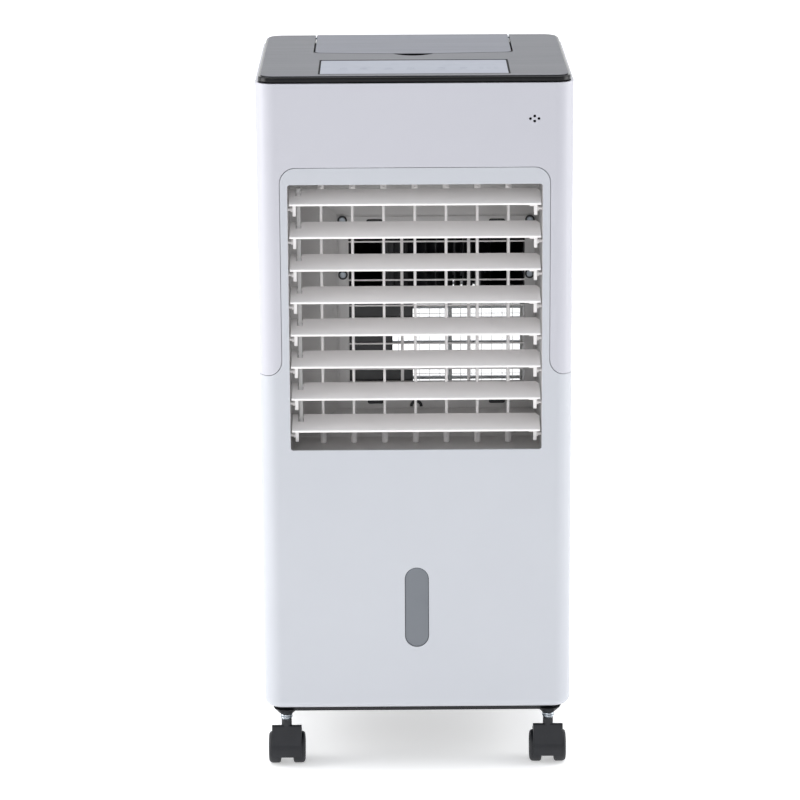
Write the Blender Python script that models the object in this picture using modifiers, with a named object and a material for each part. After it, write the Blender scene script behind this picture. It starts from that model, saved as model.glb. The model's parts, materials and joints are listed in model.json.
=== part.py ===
"""Evaporative cooler: a white casing on four twin-wheel casters, with louvres in front,
swing vanes and a blower behind them, and a water tank that pulls out at the rear.

Metres, +Z up. The front faces -Y, and the origin is on the floor under the middle of the casing.
"""

import math

import bmesh
import bpy
from mathutils import Matrix, Vector

MM = 0.001
GAP = 0.3 * MM

# Casing
BODY_HALF_WIDTH = 150 * MM
FRONT_Y = -140 * MM
REAR_Y = 137 * MM
CASING_SPLIT_Y = 122 * MM
CASING_BOTTOM_Z = 65.5 * MM
CASING_TOP_Z = 683.2 * MM
CASING_WALL = 2.6 * MM
FRONT_EDGE_RADIUS = 18 * MM
REAR_EDGE_RADIUS = 10 * MM
BOTTOM_EDGE_RADIUS = 8 * MM
INNER_FRONT_Y = FRONT_Y + CASING_WALL

# Seam between the upper and the lower casing
SEAM_SIDE_Z = 402 * MM
SEAM_TOP_Z = 603.6 * MM
SEAM_HALF_WIDTH = 128.2 * MM
SEAM_RADIUS = 15 * MM

# Air outlet
OUTLET_HALF_WIDTH = 120.7 * MM
OUTLET_BOTTOM_Z = 328 * MM
OUTLET_TOP_Z = 587.3 * MM
DUCT_FLOOR_Z = 323 * MM
DUCT_WALL = 2.2 * MM
DUCT_BEND_Y = -70 * MM
DUCT_REAR_Y = -40 * MM
PANEL_X = (-76 * MM, 118 * MM)
PANEL_Z = (344 * MM, 539 * MM)
WINDOW_X = (-64.5 * MM, 107.7 * MM)
WINDOW_Z = (371 * MM, 521 * MM)

CLIP_SLOTS = [(x * MM, z * MM) for x in (-39, 80.5) for z in (352, 531)]

# Louvres
LOUVRE_COUNT = 8
LOUVRE_PITCH = 31.6 * MM
LOUVRE_TOP_PIVOT_Z = 561.2 * MM
LOUVRE_PIVOT_Y = -125.4 * MM
LOUVRE_REST_TILT = math.radians(18)
LOUVRE_HALF_WIDTH = 119.3 * MM
LOUVRE_CHORD = (-10 * MM, 22 * MM)
LOUVRE_THICKNESS = 2 * MM
LOUVRE_RISE = 10 * MM
LUG_RADIUS = 4 * MM
LUG_INNER_X = 113 * MM
LUG_WIDTH = 3.2 * MM
PIVOT_REACH = 122.3 * MM
PIVOT_RADIUS = 1.5 * MM
PIVOT_HOLE_RADIUS = 2 * MM
CRANK_Y = 16 * MM
NOTCH_X = -108.4 * MM
NOTCH_Y = 6.5 * MM
LINK_X = -110.7 * MM
LINK_THICKNESS = 3.4 * MM
LINK_WIDTH = 6 * MM
LINK_HOLE_RADIUS = 1.9 * MM
LINK_END = 4 * MM

# Swing vanes
VANE_COUNT = 7
VANE_PITCH = 30 * MM
VANE_PIVOT_Y = -92 * MM
VANE_CHORD = (-5 * MM, 19 * MM)
VANE_THICKNESS = 2 * MM
VANE_Z = (333 * MM, 577.2 * MM)
VANE_BOSS_RADIUS = 3 * MM
VANE_CRANK_Y = 13 * MM
VANE_LINK_Z = (577.8 * MM, 580.2 * MM)

# Blower
BLOWER_X = 21.5 * MM
BLOWER_Y = 28 * MM
WHEEL_RADIUS = 58 * MM
WHEEL_Z = (452.5 * MM, 519 * MM)
WHEEL_BLADES = 24
SCROLL_RADIUS = 87.5 * MM
SCROLL_Z = (448 * MM, 524.4 * MM)
SCROLL_CENTRE_Y = 10 * MM
SCROLL_MOUTH_Y = -34.9 * MM

# Water
TANK_HALF_WIDTH = 118 * MM
TANK_Z = (76.8 * MM, 232 * MM)
TANK_FRONT_Y = -131 * MM
TANK_FACE_Y = (133.8 * MM, 136.6 * MM)
TANK_WALL = 2.5 * MM
TANK_OPENING_Z = (76.5 * MM, 239 * MM)
TANK_OPENING_HALF_WIDTH = 122 * MM
PUMP_X = -95 * MM
PUMP_Y = 22 * MM
PIPE_TOP_Z = 236.3 * MM
HOSE_TOP_Z = 640.4 * MM
TRAY_Z = (641 * MM, 682.2 * MM)

# Rear
GRILLE_HALF_WIDTH = 117.5 * MM
GRILLE_Z = (262.5 * MM, 601.5 * MM)
GRILLE_Y = (134.5 * MM, 138.5 * MM)
GRILLE_ROWS = 26
PAD_FRAME_Y = (103 * MM, 123.4 * MM)
LATCH_Z = 250.5 * MM
INLET_X = 132 * MM
INLET_Z = 250.5 * MM
GRIP_Z = 636 * MM

# Top
RIM_Z = (683.5 * MM, 689 * MM)
PLATE_Z = (689.3 * MM, 690 * MM)
RIM_HALF_WIDTH = 147.5 * MM
RIM_Y = (-137.5 * MM, 136.5 * MM)
PLATE_INSET = 2.6 * MM
LID_HALF_WIDTH = 96.5 * MM
LID_Y = (12.5 * MM, 136 * MM)
LID_BOW = 7 * MM
LID_Z = (684.5 * MM, 690 * MM)
LID_GAP = 1.2 * MM
LID_HINGE_Y = 133.4 * MM
LID_HINGE_Z = 686.8 * MM
NOTCH_HALF_WIDTH = 21 * MM
NOTCH_DEPTH = 14 * MM
STRIP_HALF_WIDTH = 89 * MM
STRIP_Y = (-121.5 * MM, -38 * MM)
STRIP_GAP = 0.6 * MM

# Water gauge
GAUGE_Z = 169.4 * MM
GAUGE_HALF_HEIGHT = 40.2 * MM
GAUGE_HALF_WIDTH = 11.6 * MM

# Base and casters
TRAY_BOTTOM_Z = 59.5 * MM
TRAY_TOP_Z = 69.1 * MM
RAIL_TOP_Z = 76.5 * MM
CONE_BOTTOM_Z = 55.1 * MM
CASTER_X = 129 * MM
CASTER_Y = {"front": -119.5 * MM, "rear": 108 * MM}
CASTER_TRAIL = 10 * MM
CASTER_WHEEL_RADIUS = 15.8 * MM
CASTER_WHEEL_X = (6 * MM, 18 * MM)
HOOD_HALF_WIDTH = 14.5 * MM
HOOD_RADII = (16.6 * MM, 18.6 * MM)
HOOD_TOP_Z = 43.5 * MM
HOOD_REAR_Z = 38 * MM
STEM_BOTTOM_Z = 38 * MM

COLOURS = {
    "white_abs": ((0.66, 0.68, 0.72), 0.38, 0.0),
    "louvre_white": ((0.72, 0.71, 0.70), 0.42, 0.0),
    "duct_grey": ((0.50, 0.50, 0.50), 0.5, 0.0),
    "black_gloss": ((0.012, 0.012, 0.014), 0.18, 0.0),
    "black_plastic": ((0.02, 0.02, 0.022), 0.5, 0.0),
    "brushed_grey": ((0.31, 0.31, 0.33), 0.35, 0.8),
    "control_glass": ((0.40, 0.42, 0.47), 0.2, 0.0),
    "gauge_grey": ((0.18, 0.20, 0.22), 0.25, 0.0),
    "clear_plastic": ((0.85, 0.88, 0.90), 0.1, 0.0),
    "tank_plastic": ((0.75, 0.80, 0.85), 0.3, 0.0),
    "pad_fibre": ((0.60, 0.55, 0.42), 0.9, 0.0),
    "zinc": ((0.70, 0.72, 0.74), 0.25, 1.0),
    "board_green": ((0.03, 0.16, 0.07), 0.5, 0.0),
}

ACROSS = (math.radians(90), 0, math.radians(90))
UPRIGHT = (math.radians(90), 0, 0)


# Scene and materials

def clear_scene():
    for obj in list(bpy.data.objects):
        bpy.data.objects.remove(obj, do_unlink=True)


def make_collection(name, hidden=False):
    collection = bpy.data.collections.new(name)
    bpy.context.scene.collection.children.link(collection)
    collection.hide_render = hidden
    return collection


def make_material(name):
    colour, roughness, metallic = COLOURS[name]
    material = bpy.data.materials.new(name)
    material.use_nodes = True
    shader = material.node_tree.nodes["Principled BSDF"]
    shader.inputs["Base Color"].default_value = (*colour, 1)
    shader.inputs["Roughness"].default_value = roughness
    shader.inputs["Metallic"].default_value = metallic
    material.diffuse_color = (*colour, 1)
    return material


clear_scene()
PARTS = make_collection("evaporative_cooler")
CUTTERS = make_collection("cutters", hidden=True)
MATERIALS = {name: make_material(name) for name in COLOURS}


# Meshes

def add_mesh(name, bm, material=None, location=(0, 0, 0), rotation=(0, 0, 0), smooth=False):
    """An object from a bmesh: a part when it has a material, a cutter when it has none."""
    mesh = bpy.data.meshes.new(name)
    bm.to_mesh(mesh)
    bm.free()
    return add_object(name, mesh, material, location, rotation, smooth)


def add_object(name, mesh, material=None, location=(0, 0, 0), rotation=(0, 0, 0), smooth=False):
    obj = bpy.data.objects.new(name, mesh)
    obj.location = location
    obj.rotation_euler = rotation
    if material:
        PARTS.objects.link(obj)
        if not mesh.materials:
            mesh.materials.append(MATERIALS[material])
        if smooth:
            mesh.shade_smooth()
            mesh.set_sharp_from_angle(angle=math.radians(35))
    else:
        CUTTERS.objects.link(obj)
        obj.hide_render = True
        obj.display_type = "WIRE"
    return obj


def box_bmesh(low, high, bm=None):
    bm = bm or bmesh.new()
    low, high = Vector(low), Vector(high)
    size = Matrix.Diagonal((*(high - low), 1))
    bmesh.ops.create_cube(bm, size=1, matrix=Matrix.Translation((low + high) / 2) @ size)
    return bm


def add_box(name, low, high, material=None):
    centre = (Vector(low) + Vector(high)) / 2
    return add_mesh(name, box_bmesh(Vector(low) - centre, Vector(high) - centre), material, centre)


def add_cylinder(name, radius, length, location, axis="Z", material=None, segments=16, top_radius=None):
    """A cylinder or a cone centred at its location, along X, Y or Z."""
    bm = bmesh.new()
    end_radius = radius if top_radius is None else top_radius
    bmesh.ops.create_cone(
        bm, cap_ends=True, segments=segments, radius1=radius, radius2=end_radius, depth=length
    )
    turn = {"X": (0, math.radians(90), 0), "Y": (math.radians(90), 0, 0), "Z": (0, 0, 0)}[axis]
    return add_mesh(name, bm, material, location, turn, smooth=True)


def add_holes(name, radius, length, places, axis="Z", segments=10):
    """One cutter of equal cylinders, so that a row of holes is a single Boolean."""
    bm = bmesh.new()
    turn = {"X": Matrix.Rotation(math.radians(90), 4, "Y"), "Y": Matrix.Rotation(math.radians(90), 4, "X")}
    for place in places:
        matrix = Matrix.Translation(place) @ turn.get(axis, Matrix.Identity(4))
        bmesh.ops.create_cone(
            bm, cap_ends=True, segments=segments, radius1=radius, radius2=radius, depth=length, matrix=matrix
        )
    return add_mesh(name, bm)


def rounded_outline(corners, steps=4):
    """Points of a closed outline from corners (x, y, radius), each radius made an arc."""
    points = []
    for index, (x, y, radius) in enumerate(corners):
        corner = Vector((x, y))
        if not radius:
            points.append(corner)
            continue
        before = (Vector(corners[index - 1][:2]) - corner).normalized()
        after = (Vector(corners[(index + 1) % len(corners)][:2]) - corner).normalized()
        half = before.angle(after) / 2
        centre = corner + (before + after).normalized() * radius / math.sin(half)
        first = corner + before * radius / math.tan(half) - centre
        last = corner + after * radius / math.tan(half) - centre
        start = math.atan2(first.y, first.x)
        sweep = math.remainder(math.atan2(last.y, last.x) - start, 2 * math.pi)
        for step in range(steps + 1):
            angle = start + sweep * step / steps
            points.append(centre + radius * Vector((math.cos(angle), math.sin(angle))))
    return points


def rectangle(low, high, radius=0):
    corners = ((low[0], low[1]), (high[0], low[1]), (high[0], high[1]), (low[0], high[1]))
    return [(x, y, radius) for x, y in corners]


def arc_points(centre, radius, start, end, steps):
    angles = [math.radians(start + (end - start) * step / steps) for step in range(steps + 1)]
    return [Vector((centre[0] + radius * math.cos(a), centre[1] + radius * math.sin(a))) for a in angles]


def plate_mesh(name, points, thickness):
    """A flat outline with its thickness centred on the outline's plane."""
    curve = bpy.data.curves.new(name, "CURVE")
    curve.dimensions = "2D"
    curve.fill_mode = "BOTH"
    curve.extrude = thickness / 2
    spline = curve.splines.new("POLY")
    spline.points.add(len(points) - 1)
    for target, point in zip(spline.points, points):
        target.co = (point[0], point[1], 0, 1)
    spline.use_cyclic_u = True
    return mesh_of_curve(name, curve)


def mesh_of_curve(name, curve):
    holder = bpy.data.objects.new(name, curve)
    CUTTERS.objects.link(holder)
    graph = bpy.context.evaluated_depsgraph_get()
    mesh = bpy.data.meshes.new_from_object(holder.evaluated_get(graph))
    bpy.data.objects.remove(holder)
    bpy.data.curves.remove(curve)
    mesh.name = name
    bm = bmesh.new()
    bm.from_mesh(mesh)
    bmesh.ops.remove_doubles(bm, verts=bm.verts, dist=1e-6)
    bmesh.ops.recalc_face_normals(bm, faces=bm.faces)
    bm.to_mesh(mesh)
    bm.free()
    return mesh


def add_plate(name, points, thickness, location, rotation=(0, 0, 0), material=None):
    mesh = plate_mesh(name, points, thickness)
    return add_object(name, mesh, material, location, rotation, smooth=bool(material))


def add_layer(name, corners, z_range, material=None, steps=4):
    """A horizontal plate of a rounded outline between two heights."""
    middle = sum(z_range) / 2
    return add_plate(
        name, rounded_outline(corners, steps), z_range[1] - z_range[0], (0, 0, middle), material=material
    )


def boolean(obj, other, operation):
    modifier = obj.modifiers.new(other.name, "BOOLEAN")
    modifier.operation = operation
    modifier.object = other


def cut(obj, *cutters):
    for cutter in cutters:
        boolean(obj, cutter, "DIFFERENCE")


def join(obj, *helpers):
    for helper in helpers:
        boolean(obj, helper, "UNION")


def baked_mesh(obj):
    """The object's mesh with its modifiers applied, for copies that share it."""
    graph = bpy.context.evaluated_depsgraph_get()
    mesh = bpy.data.meshes.new_from_object(obj.evaluated_get(graph))
    mesh.transform(obj.matrix_world)
    mesh.name = obj.name
    helpers = [modifier.object for modifier in obj.modifiers]
    for used in [obj, *helpers]:
        bpy.data.objects.remove(used)
    return mesh


# Casing

def add_casing_shell(name, front_y, rear_y, radius, open_side):
    """A thin shell over three sides with a curled-in bottom edge; open_side is -1 (front) or 1 (rear)."""
    bm = box_bmesh(
        (-BODY_HALF_WIDTH, front_y, CASING_BOTTOM_Z), (BODY_HALF_WIDTH, rear_y, CASING_TOP_Z)
    )
    closed_y = front_y if open_side > 0 else rear_y
    open_y = rear_y if open_side > 0 else front_y
    upright = [
        edge for edge in bm.edges
        if all(abs(vert.co.y - closed_y) < MM for vert in edge.verts)
        and abs(edge.verts[0].co.z - edge.verts[1].co.z) > MM
    ]
    bmesh.ops.bevel(
        bm, geom=upright, offset=radius, segments=5, profile=0.5, affect="EDGES"
    )
    lower = [
        edge for edge in bm.edges
        if all(abs(vert.co.z - CASING_BOTTOM_Z) < MM / 10 for vert in edge.verts)
        and not all(abs(vert.co.y - open_y) < MM / 10 for vert in edge.verts)
    ]
    bmesh.ops.bevel(
        bm, geom=lower, offset=BOTTOM_EDGE_RADIUS, segments=3, profile=0.5, affect="EDGES"
    )
    unwanted = [
        face for face in bm.faces
        if face.calc_center_median().y * open_side > open_y * open_side - MM / 10
        or abs(face.normal.z) > 0.99
    ]
    bmesh.ops.delete(bm, geom=unwanted, context="FACES")
    shell = add_mesh(name, bm, "white_abs", smooth=True)
    solidify = shell.modifiers.new("wall", "SOLIDIFY")
    solidify.thickness = CASING_WALL
    solidify.offset = -1
    return shell


def seam_corners(inset, floor_z, ceiling_z):
    """The seam's outline in the front plane, closed below (ceiling_z None) or above (floor_z None)."""
    side = SEAM_HALF_WIDTH - inset
    shoulder = SEAM_SIDE_Z - inset
    top = SEAM_TOP_Z - inset
    far = BODY_HALF_WIDTH + 20 * MM
    seam = [
        (far, shoulder, 0), (side, shoulder, SEAM_RADIUS), (side, top, SEAM_RADIUS),
        (-side, top, SEAM_RADIUS), (-side, shoulder, SEAM_RADIUS), (-far, shoulder, 0),
    ]
    end_z = floor_z if ceiling_z is None else ceiling_z
    return seam + [(-far, end_z, 0), (far, end_z, 0)]


def make_casing():
    depth = 400 * MM
    upper = add_casing_shell("upper_casing", FRONT_Y, CASING_SPLIT_Y, FRONT_EDGE_RADIUS, 1)
    below = rounded_outline(seam_corners(0, 20 * MM, None))
    cut(upper, add_plate("below_seam", below, depth, (0, 0, 0), UPRIGHT))
    sensor = Vector((112.7 * MM, FRONT_Y, 649.4 * MM))
    places = [sensor + Vector((x * MM, 0, z * MM)) for x, z in ((-4, 0), (0, 2.4), (4, 0), (0, -2.4))]
    cut(upper, add_holes("sensor_holes", 1.1 * MM, 12 * MM, places, "Y"))

    lower = add_casing_shell("lower_casing", FRONT_Y, CASING_SPLIT_Y, FRONT_EDGE_RADIUS, 1)
    above = rounded_outline(seam_corners(0.4 * MM, None, 720 * MM))
    outlet = rounded_outline(
        rectangle((-OUTLET_HALF_WIDTH, OUTLET_BOTTOM_Z), (OUTLET_HALF_WIDTH, OUTLET_TOP_Z), 2 * MM), 2
    )
    cut(
        lower,
        add_plate("above_seam", above, depth, (0, 0, 0), UPRIGHT),
        add_plate("outlet_opening", outlet, 20 * MM, (0, FRONT_Y, 0), UPRIGHT),
        add_plate("gauge_opening", gauge_outline(0), 20 * MM, (0, FRONT_Y, GAUGE_Z), UPRIGHT),
    )

    rear = add_casing_shell("rear_housing", CASING_SPLIT_Y + GAP, REAR_Y, REAR_EDGE_RADIUS, -1)
    opening = GRILLE_HALF_WIDTH + 0.5 * MM
    cut(
        rear,
        add_box(
            "grille_opening",
            (-opening, 126 * MM, GRILLE_Z[0] - 0.5 * MM),
            (opening, 150 * MM, GRILLE_Z[1] + 0.5 * MM),
        ),
        add_box(
            "tank_opening",
            (-TANK_OPENING_HALF_WIDTH, 126 * MM, TANK_OPENING_Z[0]),
            (TANK_OPENING_HALF_WIDTH, 150 * MM, TANK_OPENING_Z[1]),
        ),
        add_box("lid_swing_room", (-100 * MM, 126 * MM, 681.8 * MM), (100 * MM, 150 * MM, 700 * MM)),
        add_plate("grip_opening", grip_outline(0), 20 * MM, (0, REAR_Y, GRIP_Z), UPRIGHT),
        add_cylinder("latch_hole", 3 * MM, 20 * MM, (0, REAR_Y, LATCH_Z), "Y", segments=12),
        add_cylinder("inlet_hole", 6.4 * MM, 20 * MM, (INLET_X, REAR_Y, INLET_Z), "Y"),
    )


def gauge_outline(inset):
    side = GAUGE_HALF_WIDTH - inset
    end = GAUGE_HALF_HEIGHT - inset
    return rounded_outline(rectangle((-side, -end), (side, end), side * 0.999), 6)


def grip_outline(inset):
    side, end = 55 * MM - inset, 13 * MM - inset
    return rounded_outline(rectangle((-side, -end), (side, end), 8 * MM), 3)


def make_gauge():
    lens_y = (FRONT_Y + 0.8 * MM, INNER_FRONT_Y + 1.2 * MM)
    lens = add_plate(
        "gauge_window", gauge_outline(GAP), lens_y[1] - lens_y[0], (0, sum(lens_y) / 2, GAUGE_Z), UPRIGHT,
        "gauge_grey",
    )
    flange_y = (INNER_FRONT_Y + GAP, INNER_FRONT_Y + 2.2 * MM)
    flange = add_plate(
        "gauge_flange", gauge_outline(-2.4 * MM), flange_y[1] - flange_y[0], (0, sum(flange_y) / 2, GAUGE_Z),
        UPRIGHT,
    )
    join(lens, flange)


def make_grip_cup():
    depth = 14 * MM
    middle = REAR_Y - 0.6 * MM - depth / 2
    cup = add_plate("grip_cup", grip_outline(GAP), depth, (0, middle, GRIP_Z), UPRIGHT, "black_plastic")
    cut(cup, add_plate("grip_hollow", grip_outline(2.2 * MM), depth, (0, middle + 2.2 * MM, GRIP_Z), UPRIGHT))


# Top

def lid_outline(gap):
    """The lid seen from above, with a bowed front edge; gap widens it all round."""
    side = LID_HALF_WIDTH + gap
    front, rear = LID_Y[0] - gap, LID_Y[1]
    corner = 7 * MM
    points = [Vector((side, rear)), Vector((-side, rear))]
    points += arc_points((-side + corner, front + corner), corner, 180, 262, 4)
    for step in range(1, 8):
        along = -1 + step / 4
        points.append(Vector((along * (side - corner), front - LID_BOW * (1 - along ** 2))))
    points += arc_points((side - corner, front + corner), corner, 278, 360, 4)
    return points


def finger_outline():
    """A lens-shaped recess in front of the lid's middle."""
    base = LID_Y[0] - LID_BOW + 4 * MM
    points = [Vector((NOTCH_HALF_WIDTH, base)), Vector((-NOTCH_HALF_WIDTH, base))]
    for step in range(1, 10):
        along = -1 + step / 5
        points.append(Vector((along * NOTCH_HALF_WIDTH, base - 4 * MM - NOTCH_DEPTH * (1 - along ** 2))))
    return points


def make_top():
    def top_corners(inset, radius):
        return rectangle(
            (-RIM_HALF_WIDTH + inset, RIM_Y[0] + inset), (RIM_HALF_WIDTH - inset, RIM_Y[1] - inset), radius
        )

    def lid_cutter(name):
        points = lid_outline(LID_GAP)
        points[0].y = points[1].y = 150 * MM
        return add_plate(name, points, 30 * MM, (0, 0, RIM_Z[0]))

    strip_low = (-STRIP_HALF_WIDTH - STRIP_GAP, STRIP_Y[0] - STRIP_GAP)
    strip_high = (STRIP_HALF_WIDTH + STRIP_GAP, STRIP_Y[1] + STRIP_GAP)

    rim = add_layer("top_rim", top_corners(0, 16 * MM), RIM_Z, "black_gloss", 6)
    edge = rim.modifiers.new("rounded_edge", "BEVEL")
    edge.width = 1.6 * MM
    edge.segments = 2
    edge.limit_method = "ANGLE"
    edge.angle_limit = math.radians(60)
    cut(
        rim,
        lid_cutter("lid_room_in_rim"),
        add_plate("finger_room_in_rim", finger_outline(), 8 * MM, (0, 0, RIM_Z[1] + 0.2 * MM)),
        add_box("strip_seat", (*strip_low, 687.7 * MM), (*strip_high, 700 * MM)),
        add_cylinder(
            "pin_holes", 1.5 * MM, 2 * (LID_HALF_WIDTH + 4.5 * MM), (0, LID_HINGE_Y, LID_HINGE_Z), "X",
            segments=8,
        ),
    )

    plate = add_layer("top_plate", top_corners(PLATE_INSET, 14 * MM), PLATE_Z, "brushed_grey", 6)
    cut(
        plate,
        lid_cutter("lid_room_in_plate"),
        add_plate("finger_room_in_plate", finger_outline(), 6 * MM, (0, 0, PLATE_Z[1])),
        add_box("strip_room", (*strip_low, 680 * MM), (*strip_high, 700 * MM)),
    )

    strip = rectangle((-STRIP_HALF_WIDTH, STRIP_Y[0]), (STRIP_HALF_WIDTH, STRIP_Y[1]), 1.5 * MM)
    add_layer("control_strip", strip, (688 * MM, 689.9 * MM), "control_glass", 2)

    board = add_box(
        "control_board", (-80 * MM, -116 * MM, 678 * MM), (80 * MM, -44 * MM, 679.6 * MM), "board_green"
    )
    join(
        board,
        add_box("display_block", (44 * MM, -95 * MM, 679 * MM), (72 * MM, -78 * MM, 683 * MM)),
        add_box("buzzer_block", (-70 * MM, -90 * MM, 679 * MM), (-56 * MM, -76 * MM, 683 * MM)),
    )


def make_lid():
    """The lid's origin is on its hinge axis at the rear edge of the top."""
    pivot = Vector((0, LID_HINGE_Y, LID_HINGE_Z))
    points = [point - pivot.xy for point in lid_outline(0)]
    middle = sum(LID_Z) / 2 - LID_HINGE_Z
    mesh = plate_mesh("fill_lid", points, LID_Z[1] - LID_Z[0])
    mesh.transform(Matrix.Translation((0, 0, middle)))
    lid = add_object("fill_lid", mesh, "brushed_grey", pivot, smooth=True)
    cut(lid, add_cylinder("lid_pin_hole", 1.55 * MM, 220 * MM, pivot, "X", segments=8))
    add_cylinder(
        "lid_hinge_pin", 1.15 * MM, 2 * (LID_HALF_WIDTH + 4 * MM), pivot, "X", "zinc", segments=8
    )


def make_water_tray():
    """Open tray under the lid: it takes the filling water and the pumped water, and drips on the pad."""
    low = (-92 * MM, 20 * MM, TRAY_Z[0])
    high = (92 * MM, 121.4 * MM, TRAY_Z[1])
    tray = add_box("water_tray", low, high, "tank_plastic")
    wall = 2 * MM
    cut(
        tray,
        add_box(
            "tray_hollow",
            (low[0] + wall, low[1] + wall, low[2] + wall),
            (high[0] - wall, high[1] - wall, 700 * MM),
        ),
        add_cylinder("tray_drain", 7 * MM, 20 * MM, (60 * MM, 60 * MM, TRAY_Z[0]), segments=10),
        add_box("drip_slot", (-80 * MM, 112 * MM, 630 * MM), (80 * MM, 115 * MM, 650 * MM)),
    )
    ear = add_box("hose_ear", (PUMP_X - 8 * MM, 20 * MM, TRAY_Z[0]), (-90 * MM, 34 * MM, TRAY_Z[0] + 6 * MM))
    join(tray, ear)


# Air path

def rectangle_ring(bm, x_range, z_range, y):
    corners = ((0, 0), (1, 0), (1, 1), (0, 1))
    return [bm.verts.new((x_range[i], y, z_range[j])) for i, j in corners]


def make_duct():
    """A funnel: straight at the louvres, narrowing to a rear panel with an off-centre window."""
    bm = bmesh.new()
    mouth_x = (-OUTLET_HALF_WIDTH, OUTLET_HALF_WIDTH)
    mouth_z = (DUCT_FLOOR_Z, OUTLET_TOP_Z)
    rings = [
        rectangle_ring(bm, mouth_x, mouth_z, INNER_FRONT_Y + 0.5 * MM),
        rectangle_ring(bm, mouth_x, mouth_z, DUCT_BEND_Y),
        rectangle_ring(bm, PANEL_X, PANEL_Z, DUCT_REAR_Y),
        rectangle_ring(bm, WINDOW_X, WINDOW_Z, DUCT_REAR_Y),
    ]
    for first, second in zip(rings, rings[1:]):
        for i in range(4):
            bm.faces.new((first[i - 1], first[i], second[i], second[i - 1]))
    bmesh.ops.recalc_face_normals(bm, faces=bm.faces)
    inside = Vector((0, -100 * MM, 450 * MM))
    wall = next(face for face in bm.faces if abs(face.normal.x) > 0.99)
    if (wall.calc_center_median() - inside).dot(wall.normal) > 0:
        bmesh.ops.reverse_faces(bm, faces=bm.faces)
    duct = add_mesh("outlet_duct", bm, "duct_grey")
    solidify = duct.modifiers.new("wall", "SOLIDIFY")
    solidify.thickness = DUCT_WALL
    solidify.offset = -1
    solidify.use_even_offset = True
    louvre_pivots = [(0, LOUVRE_PIVOT_Y, z) for z in louvre_heights()]
    vane_pivots = [(x, VANE_PIVOT_Y, (DUCT_FLOOR_Z + OUTLET_TOP_Z) / 2) for x in vane_places()]
    slots = bmesh.new()
    for x, z in CLIP_SLOTS:
        low = (x - 9 * MM, DUCT_REAR_Y - 5 * MM, z - 1.3 * MM)
        box_bmesh(low, (x + 9 * MM, DUCT_REAR_Y + 8 * MM, z + 1.3 * MM), slots)
    cut(
        duct,
        add_holes("louvre_bearings", PIVOT_HOLE_RADIUS, 260 * MM, louvre_pivots, "X"),
        add_holes("vane_bearings", PIVOT_HOLE_RADIUS, 290 * MM, vane_pivots),
        add_mesh("clip_slots", slots),
    )


def louvre_heights():
    return [LOUVRE_TOP_PIVOT_Z - LOUVRE_PITCH * index for index in range(LOUVRE_COUNT)]


def vane_places():
    return [VANE_PITCH * (index - (VANE_COUNT - 1) / 2) for index in range(VANE_COUNT)]


def louvre_mesh():
    """One louvre about its pivot: a blade above the axis, two lugs, two pivot pins and a crank pin."""
    front, rear = LOUVRE_CHORD
    half = LOUVRE_HALF_WIDTH
    blade_points = rounded_outline([
        (-half, front, 0), (half, front, 0), (half, rear - 8 * MM, 0), (half - 4 * MM, rear, 0),
        (NOTCH_X, rear, 0), (NOTCH_X, NOTCH_Y, 0), (-half, NOTCH_Y, 0),
    ])
    blade = add_plate("louvre", blade_points, LOUVRE_THICKNESS, (0, 0, LOUVRE_RISE))
    lug = [Vector((LUG_RADIUS, LOUVRE_RISE)), Vector((-LUG_RADIUS, LOUVRE_RISE))]
    lug += arc_points((0, 0), LUG_RADIUS, 180, 360, 6)
    for side in (-1, 1):
        middle = side * (LUG_INNER_X + LUG_WIDTH / 2)
        join(blade, add_plate(f"lug_{side}", lug, LUG_WIDTH, (middle, 0, 0), ACROSS))
        start = LUG_INNER_X + LUG_WIDTH / 2
        place = (side * (start + PIVOT_REACH) / 2, 0, 0)
        join(blade, add_cylinder(f"pivot_{side}", PIVOT_RADIUS, PIVOT_REACH - start, place, "X", segments=8))
    crank_x = (LINK_X - LINK_THICKNESS / 2 - 0.6 * MM, NOTCH_X + 3 * MM)
    place = (sum(crank_x) / 2, CRANK_Y, LOUVRE_RISE)
    join(blade, add_cylinder("crank_pin", 1.3 * MM, crank_x[1] - crank_x[0], place, "X", segments=8))
    return baked_mesh(blade)


def make_louvres():
    mesh = louvre_mesh()
    for index, z in enumerate(louvre_heights()):
        add_object(
            f"louvre_{index + 1}", mesh, "louvre_white", (0, LOUVRE_PIVOT_Y, z), (LOUVRE_REST_TILT, 0, 0),
            smooth=True,
        )
    crank = Matrix.Rotation(LOUVRE_REST_TILT, 3, "X") @ Vector((0, CRANK_Y, LOUVRE_RISE))
    origin = Vector((LINK_X, LOUVRE_PIVOT_Y + crank.y, LOUVRE_TOP_PIVOT_Z + crank.z))
    length = LOUVRE_PITCH * (LOUVRE_COUNT - 1)
    half = LINK_WIDTH / 2
    low = (-LINK_THICKNESS / 2, -half, -length - LINK_END)
    link = add_mesh(
        "louvre_link", box_bmesh(low, (LINK_THICKNESS / 2, half, LINK_END)), "duct_grey", origin
    )
    places = [origin - Vector((0, 0, LOUVRE_PITCH * index)) for index in range(LOUVRE_COUNT)]
    cut(link, add_holes("louvre_link_holes", LINK_HOLE_RADIUS, 12 * MM, places, "X"))


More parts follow.
